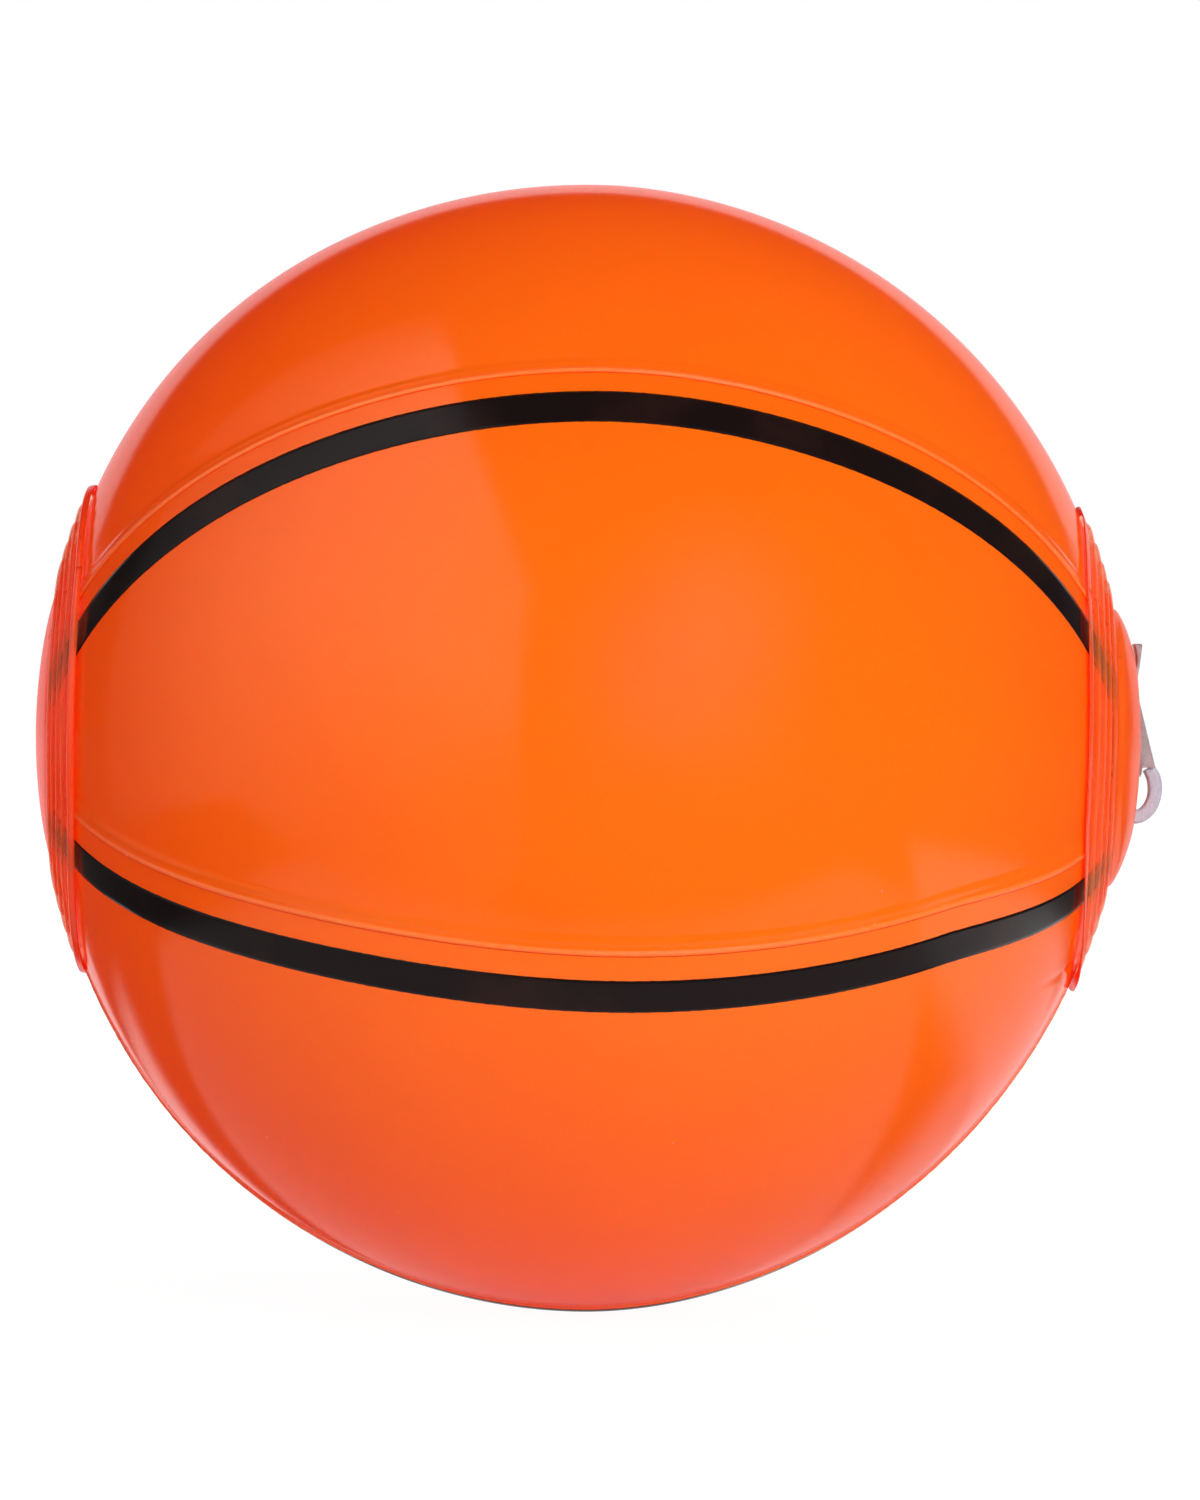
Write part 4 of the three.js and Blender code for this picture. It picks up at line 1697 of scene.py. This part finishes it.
    def strap_marks(self) -> list[Triple]:
        """Level, height and thickness of the strap at marks from the plate round the loop to the collar.

        Returns:
            The marks.
        """
        grip_top = self.seat + self.grip_height
        outer = self.loop_reach - self.loop_centre_reach
        tall = self.loop_drop - self.loop_centre_drop
        half = self.loop_thickness / 2
        start = (self.seat + self.plate_low_reach + grip_top + self.valve.clearance) / 2
        start_height = -self.plate_low_end - self.strap_start_drop
        first = (start, start_height, self.loop_thickness - self.strap_start_thinning)
        shoulder_level = between(start, self.loop_centre_reach + outer - half, self.shoulder_share)
        shoulder = (shoulder_level, -self.shoulder_drop, self.loop_thickness)
        arc = []
        for degrees in (*self.loop_degrees, self.loop_end_degrees):
            angle = math.radians(degrees)
            level = self.loop_centre_reach + (outer - half) * math.cos(angle)
            height = -self.loop_centre_drop + (tall - half) * math.sin(angle)
            thinning = self.loop_end_share if degrees == self.loop_end_degrees else 1
            arc.append((level, height, self.loop_thickness * thinning))
        arm = -self.strap_arm_drop
        thickness = self.strap_root_thickness
        lying = self.valve.discs.lying_level(arm, self.strap_width) + thickness / 2
        root = (self.valve.clearance + thickness / 2, -self.valve.collar_radius, thickness)
        return [first, shoulder, *arc, (lying, arm, thickness * self.strap_arm_swell), root]

    def strap(self) -> BMesh:
        """Strap as a closed tube of flat oval sections along its marks.

        Returns:
            The mesh.
        """
        marks = [Vector(mark) for mark in self.strap_marks()]
        spans = len(marks) - 1
        middle = self.valve.middle

        def mark_at(share: float) -> Vector:
            """Mark at a share of the way along the strap, on a smooth curve through the marks.

            Args:
                share: Share from 0 to 1.

            Returns:
                The mark.
            """
            span = min(int(share * spans), spans - 1)
            local = share * spans - span
            before = marks[max(span - 1, 0)]
            first, last = marks[span], marks[span + 1]
            after = marks[min(span + 2, spans)]
            leave, arrive = (last - before) / 2, (after - first) / 2
            cubic, square = local**3, local**2
            return (
                first * (2 * cubic - 3 * square + 1)
                + leave * (cubic - 2 * square + local)
                + last * (3 * square - 2 * cubic)
                + arrive * (cubic - square)
            )

        def place(across: float, along: float) -> Vector:
            """Point round a section.

            Args:
                across: Share of the way round a section.
                along: Share of the tube's length.

            Returns:
                The point.
            """
            here = mark_at(along)
            ahead = mark_at(min(1.0, along + 0.01)) - mark_at(max(0.0, along - 0.01))
            normal = Vector((-ahead.y, ahead.x)).normalized()
            side, face = oval(2 * math.pi * across, self.strap_squareness)
            out = normal * face * here.z / 2
            return middle + Vector((here.x + out.x, side * self.strap_width / 2, here.y + out.y))

        return closed_tube(self.strap_around, self.strap_along, place)

    def build(self) -> None:
        """Makes the plug, on the plug's body, and the strap between the stem and the plug, which rides on no
        body.
        """
        colours = ((0.56, 0.43, 0.44, 1.0), (0.44, 0.31, 0.32, 1.0))
        plug_vinyl = SoftVinylFinish("plug_vinyl", *colours, clearness=0.15).make()
        plug = new_piece("plug_with_tab", self.plug(), plug_vinyl, Slot.PLUG)
        melt_together(plug, self.voxel, self.melt_rounds)
        put_in_place(plug, "valve_plug", Body.PLUG)
        colours = ((0.68, 0.66, 0.76, 1.0), (0.52, 0.50, 0.60, 1.0))
        milky = SoftVinylFinish("milky_strap_vinyl", *colours, clearness=0.12).make()
        strap = new_piece("looped_strap", self.strap(), milky, Slot.STRAP)
        melt_together(strap, self.voxel, self.melt_rounds)
        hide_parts("plug_strap")
        start = self.valve.middle + Vector((self.still_level, 0.0, 0.0))
        end = self.valve.middle + Vector((self.pulled_level, 0.0, 0.0))
        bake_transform(strap)


Glow = Callable[[NodeTree, Socket], Number]


@dataclass(frozen=True)
class Lamp:
    """Soft rectangular lamp, whose glow may change over its face."""

    name: str
    place: Triple
    aim: Triple
    width: float
    height: float
    glow: Glow
    in_gloss: bool
    on_surfaces: bool
    power_per_area: float = 4.0

    def build(self) -> None:
        """Adds the lamp to the scene."""
        data = bpy.data.lights.new(self.name, "AREA")
        data.shape = "RECTANGLE"
        data.size = self.width
        data.size_y = self.height
        data.energy = self.power_per_area * self.width * self.height
        data.use_nodes = True
        tree = NodeTree(data.node_tree)
        spot = tree.node("ShaderNodeNewGeometry").outputs["Position"]
        light = tree.node("ShaderNodeEmission", None, {"Strength": self.glow(tree, spot)})
        tree.finish("ShaderNodeOutputLight", light)
        lamp = add_object(self.name, data)
        lamp.location = self.place
        lamp.rotation_euler = (Vector(self.aim) - Vector(self.place)).to_track_quat("-Z", "Y").to_euler()
        lamp.visible_camera = False
        lamp.visible_glossy = self.in_gloss
        lamp.visible_diffuse = self.on_surfaces


def key_glow(tree: NodeTree, spot: Socket) -> Number:
    """Glow of the key lamp, in front and slightly to the right, which fades out from its middle."""
    return tree.distance(spot, KEY_LAMP_PLACE).fade(0.0, KEY_LAMP_REACH) * KEY_LAMP_GLOW


def left_glow(tree: NodeTree, spot: Socket) -> Number:
    """Glow of the tall panel on the left, weaker low down, towards the back and at the near end.

    Args:
        tree: Tree of the lamp.
        spot: Place on the lamp.

    Returns:
        The glow.
    """
    y_place = tree.part(spot, 1)
    tall = tree.part(spot, 2).smooth(*LEFT_PANEL_UPWARDS) * LEFT_PANEL_TALL_GLOW + LEFT_PANEL_LOW_GLOW
    behind = 1.0 - y_place.smooth(*LEFT_PANEL_BACKWARDS) * LEFT_PANEL_BACK_LOSS
    near = y_place.smooth(*LEFT_PANEL_NEAR_END) * (1 - LEFT_PANEL_NEAR_GLOW) + LEFT_PANEL_NEAR_GLOW
    return tall * behind * near


def right_glow(tree: NodeTree, spot: Socket) -> Number:
    """Glow of the round soft lamp on the right, which fades out from its middle."""
    ragged = tree.noise(spot, 2.2, 2.0) * 0.5 + 0.75
    return tree.distance(spot, RIGHT_LAMP_PLACE).fade(*RIGHT_LAMP_FADE) * ragged * RIGHT_LAMP_GLOW


@dataclass(frozen=True)
class FloorInGloss:
    """How the floor shows in gloss: emission that paints a short pale table of light, the ball's painted
    shadow behind it with painted light beyond, open in front.
    """

    contact: Triple
    table_edge: Span = (-0.28, -0.22)
    table_side: Span = (0.28, 0.36)
    table_light: float = 0.62
    side_light: float = 0.05
    shadow_light: float = 0.08
    back_light: float = 1.15
    contact_light: float = 0.4
    contact_reach: float = 0.06
    shadow_start: Span = (-0.006, 0.012)
    shadow_place: float = 0.02
    shadow_slant: float = 0.45
    right_start: Span = (-0.03, 0.05)
    right_shift: float = 0.055
    right_dimming: float = 0.30
    left_slant: float = 0.5
    right_slant: float = 0.25
    near_back_start: Span = (0.0, 0.06)
    near_back_end: Span = (0.26, 0.40)
    far_back_start: Span = (0.12, 0.20)
    patch_slant: float = 0.6
    patch_start: Span = (0.15, 0.24)
    patch_end: Span = (0.42, 0.60)

    def shader(self, tree: NodeTree) -> Node:
        """Shader of the floor for glossy rays.

        Args:
            tree: Tree of the floor's material.

        Returns:
            The shader.
        """
        place = tree.place()
        x_place = tree.part(place, 0)
        y_place = tree.part(place, 1)
        away = tree.distance(place, self.contact)
        leftwards = x_place.math("MINIMUM", 0.0)
        rightwards = x_place.math("MAXIMUM", 0.0)
        sideways = x_place.math("ABSOLUTE")
        in_shadow = (y_place + rightwards * self.shadow_slant - self.shadow_place).smooth(*self.shadow_start)
        on_right = x_place.smooth(*self.right_start)
        slanted = y_place + leftwards * self.left_slant - rightwards * self.right_slant
        past_shadow = (slanted + on_right * self.right_shift).smooth(*self.near_back_start)
        near_back = past_shadow * (1.0 - on_right * self.right_dimming) * away.fade(*self.near_back_end)
        far_back = (y_place - sideways).smooth(*self.far_back_start)
        patch = (x_place + y_place * self.patch_slant).smooth(*self.patch_start) * away.fade(*self.patch_end)
        beyond = near_back.math("MAXIMUM", patch).math("MAXIMUM", far_back)
        # Painted light and shadow on the floor for glossy rays: a lit table, the ball's painted shadow,
        # painted bright floor and patch beyond it, and painted shade at the contact.
        lit = sideways.fade(*self.table_side) * self.table_light + self.side_light
        shaded = beyond * self.back_light + self.shadow_light
        at_contact = away.smooth(0.0, self.contact_reach) * (1 - self.contact_light) + self.contact_light
        level = (in_shadow * (shaded - lit) + lit) * at_contact
        pale = tree.node("ShaderNodeEmission", None, {"Strength": level})
        open_front = tree.node("ShaderNodeBsdfTransparent")
        return tree.blend(y_place.smooth(*self.table_edge), open_front, pale)


@dataclass
class Studio:
    """Pale floor, white surroundings, soft lamps and the camera of the photograph's view."""

    floor_level: float
    lamps: tuple[Lamp, ...]
    floor_size: float = 60.0
    floor_colour: Colour = (0.72, 0.72, 0.72, 1.0)
    floor_white: float = 1.12
    floor_roughness: float = 0.8
    floor_near_share: float = 0.86
    floor_near: Span = (0.15, 0.6)
    camera_place: Triple = (1.3 * MM, -1820.0 * MM, -1.7 * MM)
    camera_roll: float = math.radians(1.15)
    lens: float = 174.7
    sensor: float = 36.0
    back_light: float = 0.95
    front_light: float = 0.07
    dim_overhead: float = 0.75
    under_light: float = 0.42
    room_gloss: float = 0.03
    backdrop_narrowing: Triple = (1.65, 0.0, 2.4)
    backdrop_edge: Span = (0.97, 1.03)
    backdrop_start: Span = (0.0, 0.1)
    horizon: Span = (-0.02, 0.02)
    back_fade: Span = (-0.35, 0.45)
    overhead_fade: Span = (0.15, 0.85)

    def camera(self) -> None:
        """Adds the camera, level and square to the pole axis, rolled a little."""
        data = bpy.data.cameras.new("camera")
        data.sensor_fit = "AUTO"
        data.sensor_width = self.sensor
        data.sensor_height = self.sensor
        data.lens = self.lens
        camera = add_object("camera", data)
        right = Vector((math.cos(self.camera_roll), 0.0, math.sin(self.camera_roll)))
        up = Vector((-math.sin(self.camera_roll), 0.0, math.cos(self.camera_roll)))
        axes = Matrix((right, up, right.cross(up))).transposed().to_4x4()
        camera.matrix_world = Matrix.Translation(self.camera_place) @ axes
        bpy.context.scene.camera = camera

    def floor(self) -> None:
        """Adds the pale floor, which looks white from the camera and keeps the ball's shadow."""
        mesh = bmesh.new()
        bmesh.ops.create_grid(mesh, x_segments=1, y_segments=1, size=self.floor_size / 2)
        bmesh.ops.translate(mesh, verts=mesh.verts, vec=(0.0, 0.0, self.floor_level))
        made, tree = material_tree("pale_floor")
        far = tree.distance(tree.place()).smooth(*self.floor_near)
        white_share = far * (1 - self.floor_near_share) + self.floor_near_share
        look = {"Base Color": self.floor_colour, "Roughness": self.floor_roughness}
        pale = tree.node("ShaderNodeBsdfPrincipled", None, look)
        white = tree.node("ShaderNodeEmission", None, {"Strength": self.floor_white})
        seen = tree.blend(tree.seen_directly() * white_share, pale, white)
        in_gloss = FloorInGloss((0.0, 0.0, self.floor_level)).shader(tree)
        tree.finish("ShaderNodeOutputMaterial", tree.blend(tree.ray("Is Glossy Ray"), seen, in_gloss))
        data = mesh_data("floor", mesh)
        data.materials.append(made)
        floor = add_object("floor", data)
        floor.visible_shadow = False

    def surroundings(self) -> None:
        """Fills the world: white to the camera and behind the ball, plain soft light elsewhere."""
        world = bpy.data.worlds.new("surroundings")
        bpy.context.scene.world = world
        world.use_nodes = True
        tree = NodeTree(world.node_tree)
        direction = tree.node("ShaderNodeTexCoord").outputs["Generated"]
        backwards = tree.part(direction, 1)
        upwards = tree.part(direction, 2)
        light = backwards.smooth(*self.back_fade) * (self.back_light - self.front_light) + self.front_light
        light = light * (1.0 - upwards.smooth(*self.overhead_fade) * self.dim_overhead)
        light = upwards.smooth(*self.horizon) * (light - self.under_light) + self.under_light
        narrowed = {0: direction, 1: self.backdrop_narrowing}
        oval_place = tree.node("ShaderNodeVectorMath", {"operation": "MULTIPLY"}, narrowed).outputs[0]
        behind = backwards.smooth(*self.backdrop_start)
        backdrop = tree.distance(oval_place).fade(*self.backdrop_edge) * behind
        in_gloss = backdrop * (1.0 - self.room_gloss) + self.room_gloss
        elsewhere = tree.ray("Is Glossy Ray") * (in_gloss - light) + light
        strength = tree.seen_directly() * (1.0 - elsewhere) + elsewhere
        sky = tree.node("ShaderNodeBackground", None, {"Color": (1.0, 1.0, 1.0, 1.0), "Strength": strength})
        tree.finish("ShaderNodeOutputWorld", sky)

    def build(self) -> None:
        """Adds everything round the object."""
        bpy.context.scene.view_settings.view_transform = "Standard"
        self.camera()
        self.floor()
        self.surroundings()
        for lamp in self.lamps:
            lamp.build()


def studio_lamps() -> tuple[Lamp, ...]:
    """Lamps: a front key that gives no glint, a tall panel on the left and a soft round one on the right.

    Returns:
        The lamps.
    """
    on_left = (-0.75, -1.40, 0.25)
    beside = (0.0, -1.40, 0.25)
    gloss_only = {"in_gloss": True, "on_surfaces": False}
    return (
        Lamp(
            "front_key",
            KEY_LAMP_PLACE,
            aim=ORIGIN,
            width=3.0,
            height=3.0,
            glow=key_glow,
            in_gloss=False,
            on_surfaces=True,
        ),
        Lamp("left_panel", on_left, aim=beside, width=3.44, height=3.5, glow=left_glow, **gloss_only),
        Lamp(
            "right_glow",
            RIGHT_LAMP_PLACE,
            aim=ORIGIN,
            width=1.7,
            height=1.7,
            glow=right_glow,
            **gloss_only,
        ),
    )


def main() -> None:
    """Builds the studio and the ball in order."""
    logging.basicConfig(level=logging.INFO, format="%(message)s")
    Studio(floor_level=cad_box[0].z - FLOOR_DROP, lamps=studio_lamps()).build()
    shape = BallShape()
    FilmPanels(shape, FilmFinish(), InkFinish()).build()
    discs = EndDiscs(shape)
    discs.build()
    valve = PushInValve(discs)
    valve.build()
    PlugAndStrap(valve).build()


if __name__ == "__main__":
    main()
